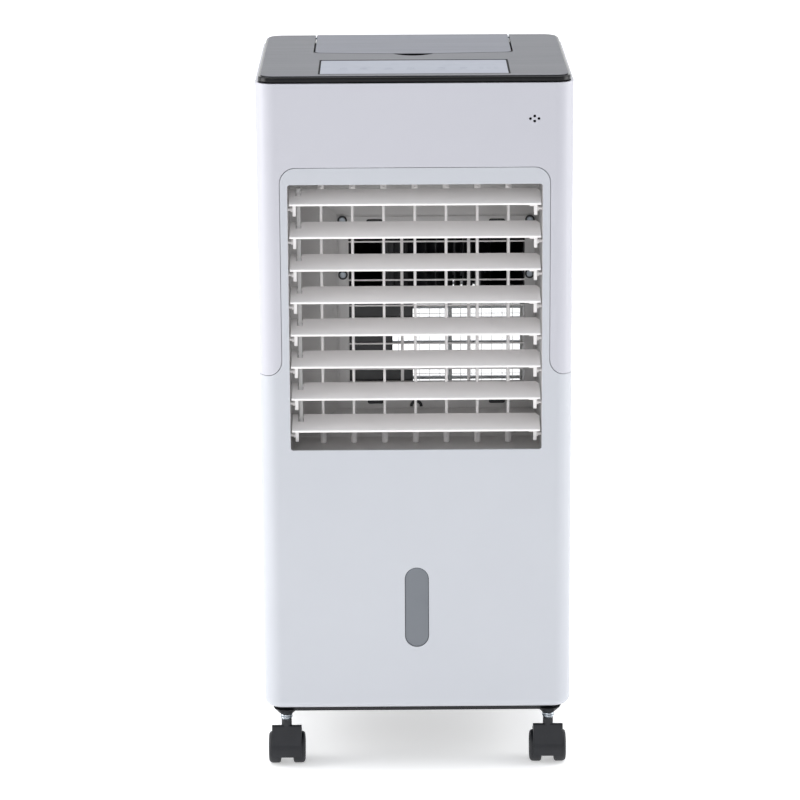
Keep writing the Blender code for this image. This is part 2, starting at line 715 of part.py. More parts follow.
def vane_mesh():
    """One vane about its pivot: blade, two bosses, two pivot pins and a crank pin on top."""
    half = VANE_THICKNESS / 2
    blade = add_box("vane", (-half, VANE_CHORD[0], VANE_Z[0]), (half, VANE_CHORD[1], VANE_Z[1]))
    ends = (
        ("lower_boss", VANE_BOSS_RADIUS, DUCT_FLOOR_Z + 0.5 * MM, VANE_Z[0] + 2 * MM, 0),
        ("upper_boss", VANE_BOSS_RADIUS, VANE_Z[1] - 2 * MM, OUTLET_TOP_Z - 0.5 * MM, 0),
        ("lower_pin", PIVOT_RADIUS, DUCT_FLOOR_Z - 1.8 * MM, VANE_Z[0] - 2 * MM, 0),
        ("upper_pin", PIVOT_RADIUS, VANE_Z[1] + 2 * MM, OUTLET_TOP_Z + 1.8 * MM, 0),
        ("crank_pin", 1.3 * MM, VANE_Z[1] - 2 * MM, VANE_LINK_Z[1] + 0.8 * MM, VANE_CRANK_Y),
    )
    for name, radius, low, high, y in ends:
        join(blade, add_cylinder(name, radius, high - low, (0, y, (low + high) / 2), segments=8))
    return baked_mesh(blade)


def make_vanes():
    mesh = vane_mesh()
    for index, x in enumerate(vane_places()):
        add_object(f"vane_{index + 1}", mesh, "louvre_white", (x, VANE_PIVOT_Y, 0), smooth=True)
    origin = Vector((vane_places()[0], VANE_PIVOT_Y + VANE_CRANK_Y, sum(VANE_LINK_Z) / 2))
    end, half = 6 * MM, 3.5 * MM
    half_height = (VANE_LINK_Z[1] - VANE_LINK_Z[0]) / 2
    length = VANE_PITCH * (VANE_COUNT - 1)
    link = add_mesh(
        "vane_link",
        box_bmesh((-end, -half, -half_height), (length + end, half, half_height)),
        "duct_grey",
        origin,
    )
    places = [origin + Vector((VANE_PITCH * index, 0, 0)) for index in range(VANE_COUNT)]
    cut(link, add_holes("vane_link_holes", LINK_HOLE_RADIUS, 12 * MM, places))
    motor_z = (OUTLET_TOP_Z + DUCT_WALL + 0.5 * MM, OUTLET_TOP_Z + 21 * MM)
    motor = add_cylinder(
        "swing_motor", 14 * MM, motor_z[1] - motor_z[0], (0, VANE_PIVOT_Y, sum(motor_z) / 2), "Z", "zinc", 20
    )
    ears = add_box(
        "motor_ears",
        (-21 * MM, VANE_PIVOT_Y - 3.5 * MM, motor_z[0]),
        (21 * MM, VANE_PIVOT_Y + 3.5 * MM, motor_z[0] + 1 * MM),
    )
    join(motor, ears)


def grid_mesh(name, x_lines, z_lines, is_open, thickness, material, y):
    """An upright plate at y, cut into cells by the lines; cells for which is_open is true are left out."""
    bm = bmesh.new()
    bmesh.ops.create_grid(bm, x_segments=len(x_lines) - 1, y_segments=len(z_lines) - 1, size=1)
    columns, rows = len(x_lines) - 1, len(z_lines) - 1
    for vert in bm.verts:
        column = round((vert.co.x + 1) / 2 * columns)
        row = round((vert.co.y + 1) / 2 * rows)
        vert.co = (x_lines[column], y, z_lines[row])
    open_faces = []
    for face in bm.faces:
        centre = face.calc_center_median()
        if is_open(centre.x, centre.z):
            open_faces.append(face)
    bmesh.ops.delete(bm, geom=open_faces, context="FACES")
    bmesh.ops.recalc_face_normals(bm, faces=bm.faces)
    plate = add_mesh(name, bm, material)
    solidify = plate.modifiers.new("thickness", "SOLIDIFY")
    solidify.thickness = thickness
    solidify.offset = 0
    return plate


def barred_lines(low, high, edge, bars, bar):
    """Cell borders across a frame: its two edges and equally spaced bars."""
    step = (high - low - 2 * edge + bar) / (bars + 1)
    lines = [low, low + edge]
    for index in range(1, bars + 1):
        start = low + edge + index * step - bar
        lines += [start, start + bar]
    return lines + [high - edge, high]


def between(value, lines):
    """Whether the value lies in an open cell: every second cell between the lines is one."""
    position = sum(line < value for line in lines)
    return position % 2 == 0


def make_finger_guard():
    x_lines = barred_lines(WINDOW_X[0] - 3 * MM, WINDOW_X[1] + 3 * MM, 3 * MM, 2, 1.8 * MM)
    z_lines = barred_lines(WINDOW_Z[0] - 3 * MM, WINDOW_Z[1] + 3 * MM, 3 * MM, 10, 1.8 * MM)
    grid_mesh(
        "finger_guard", x_lines, z_lines, lambda x, z: between(x, x_lines) and between(z, z_lines),
        1.8 * MM, "louvre_white", DUCT_REAR_Y + DUCT_WALL + 1.4 * MM,
    )


def make_blower():
    slots = 2 * WHEEL_BLADES
    bm = bmesh.new()
    bmesh.ops.create_cone(
        bm, segments=slots, radius1=WHEEL_RADIUS, radius2=WHEEL_RADIUS, depth=WHEEL_Z[1] - WHEEL_Z[0]
    )
    ring_z = (WHEEL_Z[1] - WHEEL_Z[0]) / 2 - 4 * MM
    for z in (-ring_z, ring_z):
        bmesh.ops.bisect_plane(
            bm, geom=[*bm.verts, *bm.edges, *bm.faces], plane_co=(0, 0, z), plane_no=(0, 0, 1)
        )
    slot_faces = []
    for face in bm.faces:
        centre = face.calc_center_median()
        turn = math.atan2(centre.y, centre.x) / (2 * math.pi) * slots
        if abs(centre.z) < ring_z and math.floor(turn) % 2:
            slot_faces.append(face)
    bmesh.ops.delete(bm, geom=slot_faces, context="FACES")
    bmesh.ops.recalc_face_normals(bm, faces=bm.faces)
    centre_z = sum(WHEEL_Z) / 2
    wheel = add_mesh("blower_wheel", bm, "black_plastic", (BLOWER_X, BLOWER_Y, centre_z))
    solidify = wheel.modifiers.new("blade_depth", "SOLIDIFY")
    solidify.thickness = 7 * MM
    solidify.offset = -1
    top = WHEEL_Z[1]
    join(
        wheel,
        add_cylinder(
            "wheel_disc", WHEEL_RADIUS - 3 * MM, 3 * MM, (BLOWER_X, BLOWER_Y, top - 1.8 * MM), segments=24
        ),
        add_cylinder("wheel_hub", 9 * MM, 26 * MM, (BLOWER_X, BLOWER_Y, top - 14 * MM), segments=12),
        add_cylinder("wheel_shaft", 3 * MM, 30 * MM, (BLOWER_X, BLOWER_Y, top + 2 * MM), segments=8),
    )

    left, right = BLOWER_X - SCROLL_RADIUS, BLOWER_X + SCROLL_RADIUS

    def scroll_outline(inset, mouth_y):
        points = [Vector((left + inset, mouth_y)), Vector((right - inset, mouth_y))]
        return points + arc_points((BLOWER_X, SCROLL_CENTRE_Y), SCROLL_RADIUS - inset, 0, 180, 14)

    scroll_height = SCROLL_Z[1] - SCROLL_Z[0]
    scroll = add_plate(
        "blower_scroll", scroll_outline(0, SCROLL_MOUTH_Y), scroll_height, (0, 0, sum(SCROLL_Z) / 2),
        material="black_plastic",
    )
    hollow = add_plate(
        "scroll_hollow", scroll_outline(2.5 * MM, SCROLL_MOUTH_Y - 20 * MM), scroll_height - 5 * MM,
        (0, 0, sum(SCROLL_Z) / 2),
    )
    cut(
        scroll, hollow,
        add_cylinder("inlet_eye", 50 * MM, 20 * MM, (BLOWER_X, BLOWER_Y, SCROLL_Z[0]), segments=24),
        add_cylinder("shaft_hole", 6 * MM, 20 * MM, (BLOWER_X, BLOWER_Y, SCROLL_Z[1]), segments=10),
    )

    plate = add_box("motor_plate", (left, -30 * MM, 524.9 * MM), (right, 92 * MM, 527.3 * MM), "zinc")
    cut(plate, add_cylinder("plate_hole", 8 * MM, 20 * MM, (BLOWER_X, BLOWER_Y, 526 * MM), segments=10))
    motor = add_cylinder("blower_motor", 41 * MM, 46 * MM, (BLOWER_X, BLOWER_Y, 550.8 * MM), "Z", "zinc", 24)
    cut(motor, add_cylinder("motor_bore", 3.5 * MM, 20 * MM, (BLOWER_X, BLOWER_Y, 527.8 * MM), segments=12))

    add_box(
        "control_box", (-67 * MM, SCROLL_MOUTH_Y, 364 * MM), (-2 * MM, 15 * MM, 447 * MM), "black_plastic"
    )
    add_box(
        "air_baffle",
        (-1 * MM, SCROLL_MOUTH_Y, 366 * MM),
        (110 * MM, SCROLL_MOUTH_Y + 1.6 * MM, 447 * MM),
        "clear_plastic",
    )


# Water

def make_tank():
    half, wall = TANK_HALF_WIDTH, TANK_WALL
    tank = add_box(
        "water_tank",
        (-half, TANK_FRONT_Y, TANK_Z[0]),
        (half, TANK_FACE_Y[0] + 1 * MM, TANK_Z[1]),
        "tank_plastic",
    )
    face_z = (TANK_OPENING_Z[0] + 0.6 * MM, TANK_OPENING_Z[1] - 0.8 * MM)
    face_half = TANK_OPENING_HALF_WIDTH - 0.8 * MM
    face = add_box(
        "tank_face", (-face_half, TANK_FACE_Y[0], face_z[0]), (face_half, TANK_FACE_Y[1], face_z[1])
    )
    hollow = add_box(
        "tank_hollow",
        (-half + wall, TANK_FRONT_Y + wall, TANK_Z[0] + wall),
        (half - wall, TANK_FACE_Y[0] - wall, 300 * MM),
    )
    join(tank, face)
    cut(tank, hollow)
    join(tank, add_box("grip_pocket", (-50 * MM, 115 * MM, 190 * MM), (50 * MM, TANK_FACE_Y[0], 221 * MM)))
    cut(tank, add_box("grip_room", (-47.5 * MM, 117.5 * MM, 192.5 * MM), (47.5 * MM, 150 * MM, 218.5 * MM)))

    pump = add_box(
        "pump", (PUMP_X - 17 * MM, 0, 79.6 * MM), (PUMP_X + 17 * MM, 45 * MM, 118 * MM), "black_plastic"
    )
    pipe_low = 115 * MM
    join(
        pump,
        add_cylinder(
            "pump_pipe", 5 * MM, PIPE_TOP_Z - pipe_low, (PUMP_X, PUMP_Y, (PIPE_TOP_Z + pipe_low) / 2),
            segments=10,
        ),
    )

    curve = bpy.data.curves.new("riser_hose", "CURVE")
    curve.dimensions = "3D"
    curve.bevel_depth = 5 * MM
    curve.bevel_resolution = 2
    curve.use_fill_caps = True
    spline = curve.splines.new("POLY")
    steps = 12
    spline.points.add(steps)
    low, high = PIPE_TOP_Z + GAP, HOSE_TOP_Z
    for step in range(steps + 1):
        along = step / steps
        bow = 9 * MM * math.sin(math.pi * along) ** 2
        spline.points[step].co = (PUMP_X - bow, PUMP_Y, low + (high - low) * along, 1)
    add_object("riser_hose", mesh_of_curve("riser_hose", curve), "clear_plastic", smooth=True)


def make_latch():
    """A turn button above the tank, parked sideways; its origin is on its pivot."""
    outline = arc_points((0, 0), 7 * MM, 90, 270, 6) + arc_points((12 * MM, 0), 7 * MM, -90, 90, 6)
    pivot = Vector((0, REAR_Y + 1.65 * MM, LATCH_Z))
    latch = add_plate("tank_latch", outline, 2.7 * MM, pivot, UPRIGHT, "black_plastic")
    shaft_place = pivot - Vector((0, 3 * MM, 0))
    join(latch, add_cylinder("latch_shaft", 2.5 * MM, 8 * MM, shaft_place, "Y", segments=10))


# Rear

def make_rear():
    half = GRILLE_HALF_WIDTH
    x_lines = barred_lines(-half, half, 7 * MM, 2, 4 * MM)
    z_lines = barred_lines(GRILLE_Z[0], GRILLE_Z[1], 8 * MM, GRILLE_ROWS - 1, 3 * MM)
    grid_mesh(
        "rear_grille", x_lines, z_lines, lambda x, z: between(x, x_lines) and between(z, z_lines),
        GRILLE_Y[1] - GRILLE_Y[0], "white_abs", sum(GRILLE_Y) / 2,
    )

    low_z, high_z = GRILLE_Z
    frame = add_box(
        "pad_frame", (-half, PAD_FRAME_Y[0], low_z), (half, PAD_FRAME_Y[1], high_z), "louvre_white"
    )
    rim = 5 * MM
    cut(
        frame,
        add_box("pad_room", (-half + rim, 90 * MM, low_z + rim), (half - rim, 130 * MM, high_z - rim)),
    )
    edge = rim + 0.5 * MM
    add_box(
        "cooling_pad",
        (-half + edge, PAD_FRAME_Y[0] + 1 * MM, low_z + edge),
        (half - edge, PAD_FRAME_Y[1] - 1 * MM, high_z - edge),
        "pad_fibre",
    )

    profile = ((3.6, 1.0), (8.5, 1.0), (8.5, -1.0), (6.0, -1.0), (6.0, -5.0), (3.6, -5.0))
    place = (INLET_X, REAR_Y + 1.4 * MM, INLET_Z)
    add_turned("cord_inlet", profile, place, (math.radians(-90), 0, 0), "black_plastic")


def add_turned(name, profile, location, rotation, material, steps=14):
    """A closed profile (radius, height in mm), from the top down its outer side, turned into a ring."""
    bm = bmesh.new()
    verts = [bm.verts.new((radius * MM, 0, height * MM)) for radius, height in profile]
    for index, vert in enumerate(verts):
        bm.edges.new((verts[index - 1], vert))
    ring = add_mesh(name, bm, material, location, rotation)
    screw = ring.modifiers.new("turned", "SCREW")
    screw.steps = steps
    screw.render_steps = steps
    screw.use_merge_vertices = True
    screw.merge_threshold = 0.0001
    return ring


# Base

def make_base():
    half = BODY_HALF_WIDTH - 9 * MM
    bm = bmesh.new()
    size = (2 * half, REAR_Y - FRONT_Y - 18 * MM, TRAY_TOP_Z - TRAY_BOTTOM_Z)
    bmesh.ops.create_cube(bm, size=1, matrix=Matrix.Diagonal((*size, 1)))
    upright = [edge for edge in bm.edges if abs(edge.verts[0].co.z - edge.verts[1].co.z) > MM]
    bmesh.ops.bevel(bm, geom=upright, offset=12 * MM, segments=3, profile=0.5, affect="EDGES")
    for vert in bm.verts:
        if vert.co.z < 0:
            vert.co.x *= 1 - 4 * MM / half
            vert.co.y *= 1 - 4 * MM / half
    centre = (0, (REAR_Y + FRONT_Y) / 2, (TRAY_TOP_Z + TRAY_BOTTOM_Z) / 2)
    tray = add_mesh("base_tray", bm, "black_plastic", centre)
    for x in (-65 * MM, 65 * MM):
        low, high = (x - 5 * MM, -125 * MM, 65 * MM), (x + 5 * MM, 125 * MM, RAIL_TOP_Z)
        join(tray, add_box(f"rail_{x:.3f}", low, high))
    height = TRAY_BOTTOM_Z + 2 * MM - CONE_BOTTOM_Z
    for x, y in caster_places().values():
        cone_z = CONE_BOTTOM_Z + height / 2
        boss_name = f"boss_{x:.3f}_{y:.3f}"
        join(tray, add_cylinder(boss_name, 6.5 * MM, height, (x, y, cone_z), top_radius=13 * MM, segments=12))
        room_name = f"stem_room_{x:.3f}_{y:.3f}"
        cut(tray, add_cylinder(room_name, 4.4 * MM, 30 * MM, (x, y, 51.5 * MM), segments=10))


def caster_places():
    sides = {"left": -CASTER_X, "right": CASTER_X}
    return {f"{end}_{side}": (sides[side], CASTER_Y[end]) for end in CASTER_Y for side in sides}


def hood_outline():
    """The hood from the side, about the wheel axle: it covers the front and the top, in the (y, z) plane."""
    inner, outer = HOOD_RADII
    top = HOOD_TOP_Z - CASTER_WHEEL_RADIUS
    points = arc_points((0, 0), outer, 196, 150, 4)
    rear = HOOD_REAR_Z - CASTER_WHEEL_RADIUS
    points += [Vector((-16.1 * MM, top - 3 * MM)), Vector((-14.5 * MM, top)), Vector((2 * MM, rear))]
    points += arc_points((0, 0), outer, 75, 55, 2)
    points += arc_points((0, 0), inner, 55, 196, 9)
    return points


def hood_mesh():
    hood = add_plate("hood", hood_outline(), 2 * HOOD_HALF_WIDTH, (0, 0, 0), ACROSS)
    inner, outer = HOOD_RADII
    web_points = arc_points((0, 0), outer - 0.4 * MM, 190, 60, 7) + arc_points((0, 0), 7 * MM, 20, -120, 4)
    web = add_plate("web", web_points, 2 * (CASTER_WHEEL_X[0] - 0.6 * MM), (0, 0, 0), ACROSS)
    neck_z = (HOOD_REAR_Z - 2 * MM - CASTER_WHEEL_RADIUS, 49 * MM - CASTER_WHEEL_RADIUS)
    neck_place = (0, -CASTER_TRAIL, sum(neck_z) / 2)
    join(hood, web, add_cylinder("neck", 5 * MM, neck_z[1] - neck_z[0], neck_place, segments=12))
    socket_z = STEM_BOTTOM_Z - CASTER_WHEEL_RADIUS + 9.4 * MM
    stem_room = add_cylinder("stem_socket", 3.4 * MM, 20 * MM, (0, -CASTER_TRAIL, socket_z), segments=10)
    cut(hood, stem_room, add_cylinder("axle_hole", 2.5 * MM, 40 * MM, (0, 0, 0), "X", segments=10))
    return baked_mesh(hood)


def wheels_mesh():
    low, high = CASTER_WHEEL_X
    wheels = add_cylinder("wheels", 2 * MM, 2 * low + 6 * MM, (0, 0, 0), "X", segments=8)
    for side in (-1, 1):
        middle = (side * (low + high) / 2, 0, 0)
        join(wheels, add_cylinder(f"wheel_{side}", CASTER_WHEEL_RADIUS, high - low, middle, "X", segments=28))
        face = (side * high, 0, 0)
        cut(wheels, add_cylinder(f"wheel_dish_{side}", 12 * MM, 2.4 * MM, face, "X", segments=20))
    return baked_mesh(wheels)


def stem_mesh():
    """A stem with a shoulder ring, turned about Z."""
    profile = ((0, 66), (4, 66), (4, 54.8), (6.1, 54.4), (6.1, 49.9), (3, 49.4), (3, 38.4), (0, 38.4))
    bm = bmesh.new()
    verts = [bm.verts.new((radius * MM, 0, height * MM)) for radius, height in profile]
    edges = [bm.edges.new(pair) for pair in zip(verts, verts[1:])]
    bmesh.ops.spin(
        bm, geom=verts + edges, cent=(0, 0, 0), axis=(0, 0, 1), angle=2 * math.pi, steps=12, use_merge=True
    )
    bmesh.ops.remove_doubles(bm, verts=bm.verts, dist=1e-6)
    bmesh.ops.recalc_face_normals(bm, faces=bm.faces)
    mesh = bpy.data.meshes.new("stem")
    bm.to_mesh(mesh)
    bm.free()
    return mesh


def make_casters():
    hood = hood_mesh()
    wheels = wheels_mesh()
    stem = stem_mesh()
    for place, (x, y) in caster_places().items():
        axle = (x, y + CASTER_TRAIL, CASTER_WHEEL_RADIUS)
        add_object(f"caster_hood_{place}", hood, "black_plastic", axle, smooth=True)
        add_object(f"caster_wheels_{place}", wheels, "black_plastic", axle, smooth=True)
        add_object(f"caster_stem_{place}", stem, "zinc", (x, y, 0), smooth=True)


make_casing()
make_gauge()
make_grip_cup()
make_top()
make_lid()
make_water_tray()
make_duct()
make_louvres()
make_vanes()
make_finger_guard()
make_blower()
make_tank()
make_latch()
make_rear()
make_base()
make_casters()
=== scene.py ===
import json
import math

import bmesh
import bpy
from mathutils import Matrix, Vector


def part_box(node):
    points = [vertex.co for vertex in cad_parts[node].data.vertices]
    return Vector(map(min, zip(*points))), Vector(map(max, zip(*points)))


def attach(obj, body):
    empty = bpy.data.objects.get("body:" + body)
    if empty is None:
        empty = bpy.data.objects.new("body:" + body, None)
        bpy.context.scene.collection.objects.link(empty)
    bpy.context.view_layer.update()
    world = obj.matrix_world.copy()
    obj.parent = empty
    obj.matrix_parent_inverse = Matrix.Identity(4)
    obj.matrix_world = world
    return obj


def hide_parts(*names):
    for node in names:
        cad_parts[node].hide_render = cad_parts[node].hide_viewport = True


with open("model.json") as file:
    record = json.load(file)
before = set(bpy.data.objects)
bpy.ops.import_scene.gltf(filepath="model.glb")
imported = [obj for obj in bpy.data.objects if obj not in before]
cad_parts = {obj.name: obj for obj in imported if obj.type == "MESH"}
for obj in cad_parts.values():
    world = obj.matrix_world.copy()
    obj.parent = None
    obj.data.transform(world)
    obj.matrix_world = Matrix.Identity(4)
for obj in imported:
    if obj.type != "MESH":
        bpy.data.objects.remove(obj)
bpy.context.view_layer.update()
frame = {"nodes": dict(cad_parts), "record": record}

nodes = frame["nodes"]
mm = 0.001

# A shape drawn in x and y with its thickness along z is turned with one of these.
upright = Matrix(((1, 0, 0), (0, 0, -1), (0, 1, 0))).to_4x4()   # drawn in x and z, thick along y
sideways = Matrix(((0, 0, 1), (1, 0, 0), (0, 1, 0))).to_4x4()   # drawn in y and z, thick along x


def boxCorners(node):
    low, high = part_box(node)
    return low / mm, high / mm


def newBlock(low, high):
    bm = bmesh.new()
    low, high = Vector(low) * mm, Vector(high) * mm
    size = Matrix.Diagonal((*(high - low), 1))
    bmesh.ops.create_cube(bm, size=1, matrix=Matrix.Translation((low + high) / 2) @ size)
    return bm


def newRod(radius, length, at, axis="Z", steps=32, endRadius=None):
    bm = bmesh.new()
    turns = {"X": Matrix.Rotation(math.radians(90), 4, "Y"), "Y": Matrix.Rotation(math.radians(90), 4, "X")}
    matrix = Matrix.Translation(Vector(at) * mm) @ turns.get(axis, Matrix.Identity(4))
    top = radius if endRadius is None else endRadius
    bmesh.ops.create_cone(
        bm, cap_ends=True, segments=steps, radius1=radius * mm, radius2=top * mm, depth=length * mm,
        matrix=matrix
    )
    return bm


def newPlate(corners, low, high, turn=None, steps=8):
    # corners are (x, y, rounding); the face is drawn from them, its corners bevelled, then extruded
    bm = bmesh.new()
    verts = [bm.verts.new((x * mm, y * mm, low * mm)) for x, y, _ in corners]
    bm.faces.new(verts)
    for vert, (_, _, rounding) in zip(verts, corners):
        if rounding:
            bmesh.ops.bevel(
                bm, geom=[vert], offset=rounding * mm, offset_type="OFFSET", segments=steps, profile=0.5,
                affect="VERTICES", material=-1,
            )
    grown = bmesh.ops.extrude_face_region(bm, geom=bm.faces[:])["geom"]
    moved = [item for item in grown if isinstance(item, bmesh.types.BMVert)]
    bmesh.ops.translate(bm, verts=moved, vec=(0, 0, (high - low) * mm))
    bmesh.ops.recalc_face_normals(bm, faces=bm.faces[:])
    if turn is not None:
        bmesh.ops.transform(bm, matrix=turn, verts=bm.verts[:])
    return bm


def rectangle(halfWidth, low, high, rounding=0):
    return [
        (-halfWidth, low, rounding), (halfWidth, low, rounding),
        (halfWidth, high, rounding), (-halfWidth, high, rounding),
    ]


def newSpun(profile, axis, centre=(0, 0, 0), steps=48):
    # profile is (radius, along) pairs from one end of the axis to the other
    bm = bmesh.new()
    if axis == "X":
        verts = [bm.verts.new((along * mm, 0, radius * mm)) for radius, along in profile]
    elif axis == "Y":
        verts = [bm.verts.new((radius * mm, along * mm, 0)) for radius, along in profile]
    else:
        verts = [bm.verts.new((radius * mm, 0, along * mm)) for radius, along in profile]
    edges = [bm.edges.new(pair) for pair in zip(verts, verts[1:])]
    direction = {"X": (1, 0, 0), "Y": (0, 1, 0), "Z": (0, 0, 1)}[axis]
    bmesh.ops.spin(
        bm, geom=verts + edges, cent=(0, 0, 0), axis=direction, angle=math.tau, steps=steps, use_merge=True
    )
    bmesh.ops.remove_doubles(bm, verts=bm.verts[:], dist=0.002 * mm)
    bmesh.ops.recalc_face_normals(bm, faces=bm.faces[:])
    bmesh.ops.translate(bm, verts=bm.verts[:], vec=Vector(centre) * mm)
    return bm


def gather(*shapes):
    # several closed shapes kept side by side in one mesh
    bm = bmesh.new()
    for shape in shapes:
        held = bpy.data.meshes.new("held")
        shape.to_mesh(held)
        shape.free()
        bm.from_mesh(held)
        bpy.data.meshes.remove(held)
    return bm


def copyOf(bm, matrix):
    copied = bm.copy()
    bmesh.ops.transform(copied, matrix=matrix, verts=copied.verts[:])
    return copied


def shift(x, y, z):
    return Matrix.Translation(Vector((x, y, z)) * mm)


def helperObject(bm):
    mesh = bpy.data.meshes.new("helper")
    bm.to_mesh(mesh)
    bm.free()
    helper = bpy.data.objects.new("helper", mesh)
    bpy.context.scene.collection.objects.link(helper)
    return helper


def withModifiers(bm, *steps):
    # runs modifiers over the shape and hands back the result as a bmesh
    base = helperObject(bm)
    helpers = []
    for kind, settings in steps:
        modifier = base.modifiers.new(kind.lower(), kind)
        for key, value in settings.items():
            if isinstance(value, bmesh.types.BMesh):
                value = helperObject(value)
                helpers.append(value)
            setattr(modifier, key, value)
    graph = bpy.context.evaluated_depsgraph_get()
    result = bmesh.new()
    result.from_mesh(base.evaluated_get(graph).to_mesh())
    for used in (base, *helpers):
        mesh = used.data
        bpy.data.objects.remove(used)
        bpy.data.meshes.remove(mesh)
    return result


def carve(bm, *cutters):
    cuts = [("BOOLEAN", {"operation": "DIFFERENCE", "object": cutter}) for cutter in cutters]
    return withModifiers(bm, *cuts)


def weld(bm, *others):
    return withModifiers(bm, *[("BOOLEAN", {"operation": "UNION", "object": other}) for other in others])


def tidyMesh(bm):
    bmesh.ops.remove_doubles(bm, verts=bm.verts[:], dist=0.002 * mm)
    bmesh.ops.dissolve_limit(
        bm, angle_limit=math.radians(0.6), use_dissolve_boundaries=False, verts=bm.verts[:], edges=bm.edges[:]
    )


def softenEdges(bm, width, steps=2, angle=40, wanted=None):
    # wanted picks among the sharp edges by the middle of each, in mm
    edges = [
        edge for edge in bm.edges
        if len(edge.link_faces) == 2 and edge.calc_face_angle(0) > math.radians(angle)
    ]
    if wanted:
        edges = [edge for edge in edges if wanted((edge.verts[0].co + edge.verts[1].co) / (2 * mm))]
    bmesh.ops.bevel(
        bm, geom=edges, offset=width * mm, offset_type="OFFSET", segments=steps, profile=0.5, affect="EDGES",
        clamp_overlap=True, material=-1,
    )


def makePiece(name, bm, material, body, replaced=(), angle=32):
    mesh = bpy.data.meshes.new(name)
    bm.to_mesh(mesh)
    bm.free()
    mesh.materials.append(material)
    mesh.shade_smooth()
    mesh.set_sharp_from_angle(angle=math.radians(angle))
    piece = bpy.data.objects.new(name, mesh)
    bpy.context.scene.collection.objects.link(piece)
    # large flat faces keep flat normals, and only the rounded edges bend the light
    weighting = piece.modifiers.new("weighting", "WEIGHTED_NORMAL")
    weighting.keep_sharp = True
    graph = bpy.context.evaluated_depsgraph_get()
    piece.data = bpy.data.meshes.new_from_object(piece.evaluated_get(graph))
    piece.data.name = name
    piece.modifiers.remove(weighting)
    bpy.data.meshes.remove(mesh)
    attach(piece, body)
    if replaced:
        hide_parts(*replaced)
    return piece


def refinedCopy(node, edge=0.4, steps=2, angle=40):
    # the node's own shape, merged, with its sharp edges rounded as a mould leaves them
    bm = bmesh.new()
    bm.from_mesh(nodes[node].data)
    tidyMesh(bm)
    if edge:
        softenEdges(bm, edge, steps, angle)
    return bm


bodyOf = {node: body for body, members in frame["record"]["behaviour"]["bodies"].items() for node in members}


def refine(node, material, edge=0.4, steps=2, angle=40, smooth=32):
    words = node.split("_")
    name = words[0] + "".join(word.capitalize() for word in words[1:])
    return makePiece(
        name, refinedCopy(node, edge, steps, angle), material, bodyOf[node], (node,), smooth
    )


def toLinear(hexColour):
    channels = [int(hexColour[i:i + 2], 16) / 255 for i in (1, 3, 5)]
    return [c / 12.92 if c <= 0.04045 else ((c + 0.055) / 1.055) ** 2.4 for c in channels] + [1]


def addNode(tree, kind, settings=None, links=None):
    node = tree.nodes.new(kind)
    for key, value in (settings or {}).items():
        if isinstance(key, int) or key in node.inputs:
            node.inputs[key].default_value = value
        else:
            setattr(node, key, value)
    for key, source in (links or {}).items():
        tree.links.new(source, node.inputs[key])
    return node


def startMaterial(name, colour, roughness, metallic=0.0, **sockets):
    material = bpy.data.materials.new(name)
    material.use_nodes = True
    tree = material.node_tree
    shader = tree.nodes["Principled BSDF"]
    shader.inputs["Base Color"].default_value = toLinear(colour)
    shader.inputs["Roughness"].default_value = roughness
    shader.inputs["Metallic"].default_value = metallic
    for socket, value in sockets.items():
        shader.inputs[socket.replace("_", " ")].default_value = value
    place = addNode(tree, "ShaderNodeTexCoord")
    return material, tree, shader, place.outputs["Object"]


def mouldedPlastic(name, colour, shade, roughness, grain, depth, cloud=90, **sockets):
    # grain is the size in mm of the mould's fine texture, depth its height in mm;
    # cloud is the size of the slow colour change that a thick moulding cools with
    material, tree, shader, place = startMaterial(name, colour, roughness, **sockets)
    slow = addNode(
        tree, "ShaderNodeTexNoise", {"Scale": 1 / (cloud * mm), "Detail": 3.0, "Roughness": 0.5}, {
            "Vector": place
        }
    )
    tone = addNode(
        tree, "ShaderNodeMix", {"data_type": "RGBA", 6: toLinear(colour), 7: toLinear(shade)},
        {0: slow.outputs["Fac"]},
    )
    tree.links.new(tone.outputs[2], shader.inputs["Base Color"])
    patches = addNode(
        tree, "ShaderNodeTexNoise", {"Scale": 1 / (cloud / 4 * mm), "Detail": 4.0}, {"Vector": place}
    )
    gloss = addNode(
        tree, "ShaderNodeMapRange", {"To Min": roughness - 0.05, "To Max": roughness + 0.05},
        {"Value": patches.outputs["Fac"]},
    )
    tree.links.new(gloss.outputs["Result"], shader.inputs["Roughness"])
    fine = addNode(
        tree, "ShaderNodeTexNoise", {"Scale": 1 / (grain * mm), "Detail": 2.0, "Roughness": 0.6}, {
            "Vector": place
        }
    )
    bump = addNode(
        tree, "ShaderNodeBump", {"Strength": 0.5, "Distance": depth * mm}, {"Height": fine.outputs["Fac"]}
    )
    tree.links.new(bump.outputs["Normal"], shader.inputs["Normal"])
    return material


# White ABS, injection moulded in a finely etched mould: satin, faintly cool, a soft broad highlight
casingAbs = mouldedPlastic("white ABS satin moulded", "#BFC1C6", "#BABCC2", 0.38, 0.9, 0.012, cloud=160)
# The upper shell is the same white ABS, its colour set apart from the lower one's to match how it is lit:
# painted shade, a shade more neutral than the lower one
upperAbs = mouldedPlastic(
    "white ABS satin moulded, neutral", "#C1C0C7", "#B9B9C0", 0.38, 0.9, 0.012, cloud=190
)
# The same ABS without the cool tint, drier from a coarser etch: louvres, vanes and the finger guard
louvreAbs = mouldedPlastic("white ABS matt moulded", "#F3F0EF", "#ECE9E8", 0.46, 0.7, 0.02, cloud=60)
# Pale grey polypropylene, moulded thin: matt, slightly cloudy where it cooled
ductPolypropylene = mouldedPlastic(
    "pale grey polypropylene moulded", "#CDCBCA", "#C0BFBE", 0.5, 1.1, 0.03, cloud=70
)
# Black ABS from a polished mould: a deep gloss with a hard edge highlight
rimAbs = mouldedPlastic(
    "black ABS polished", "#08080A", "#0C0C0E", 0.2, 1.6, 0.004, cloud=80, Specular_IOR_Level=0.28
)
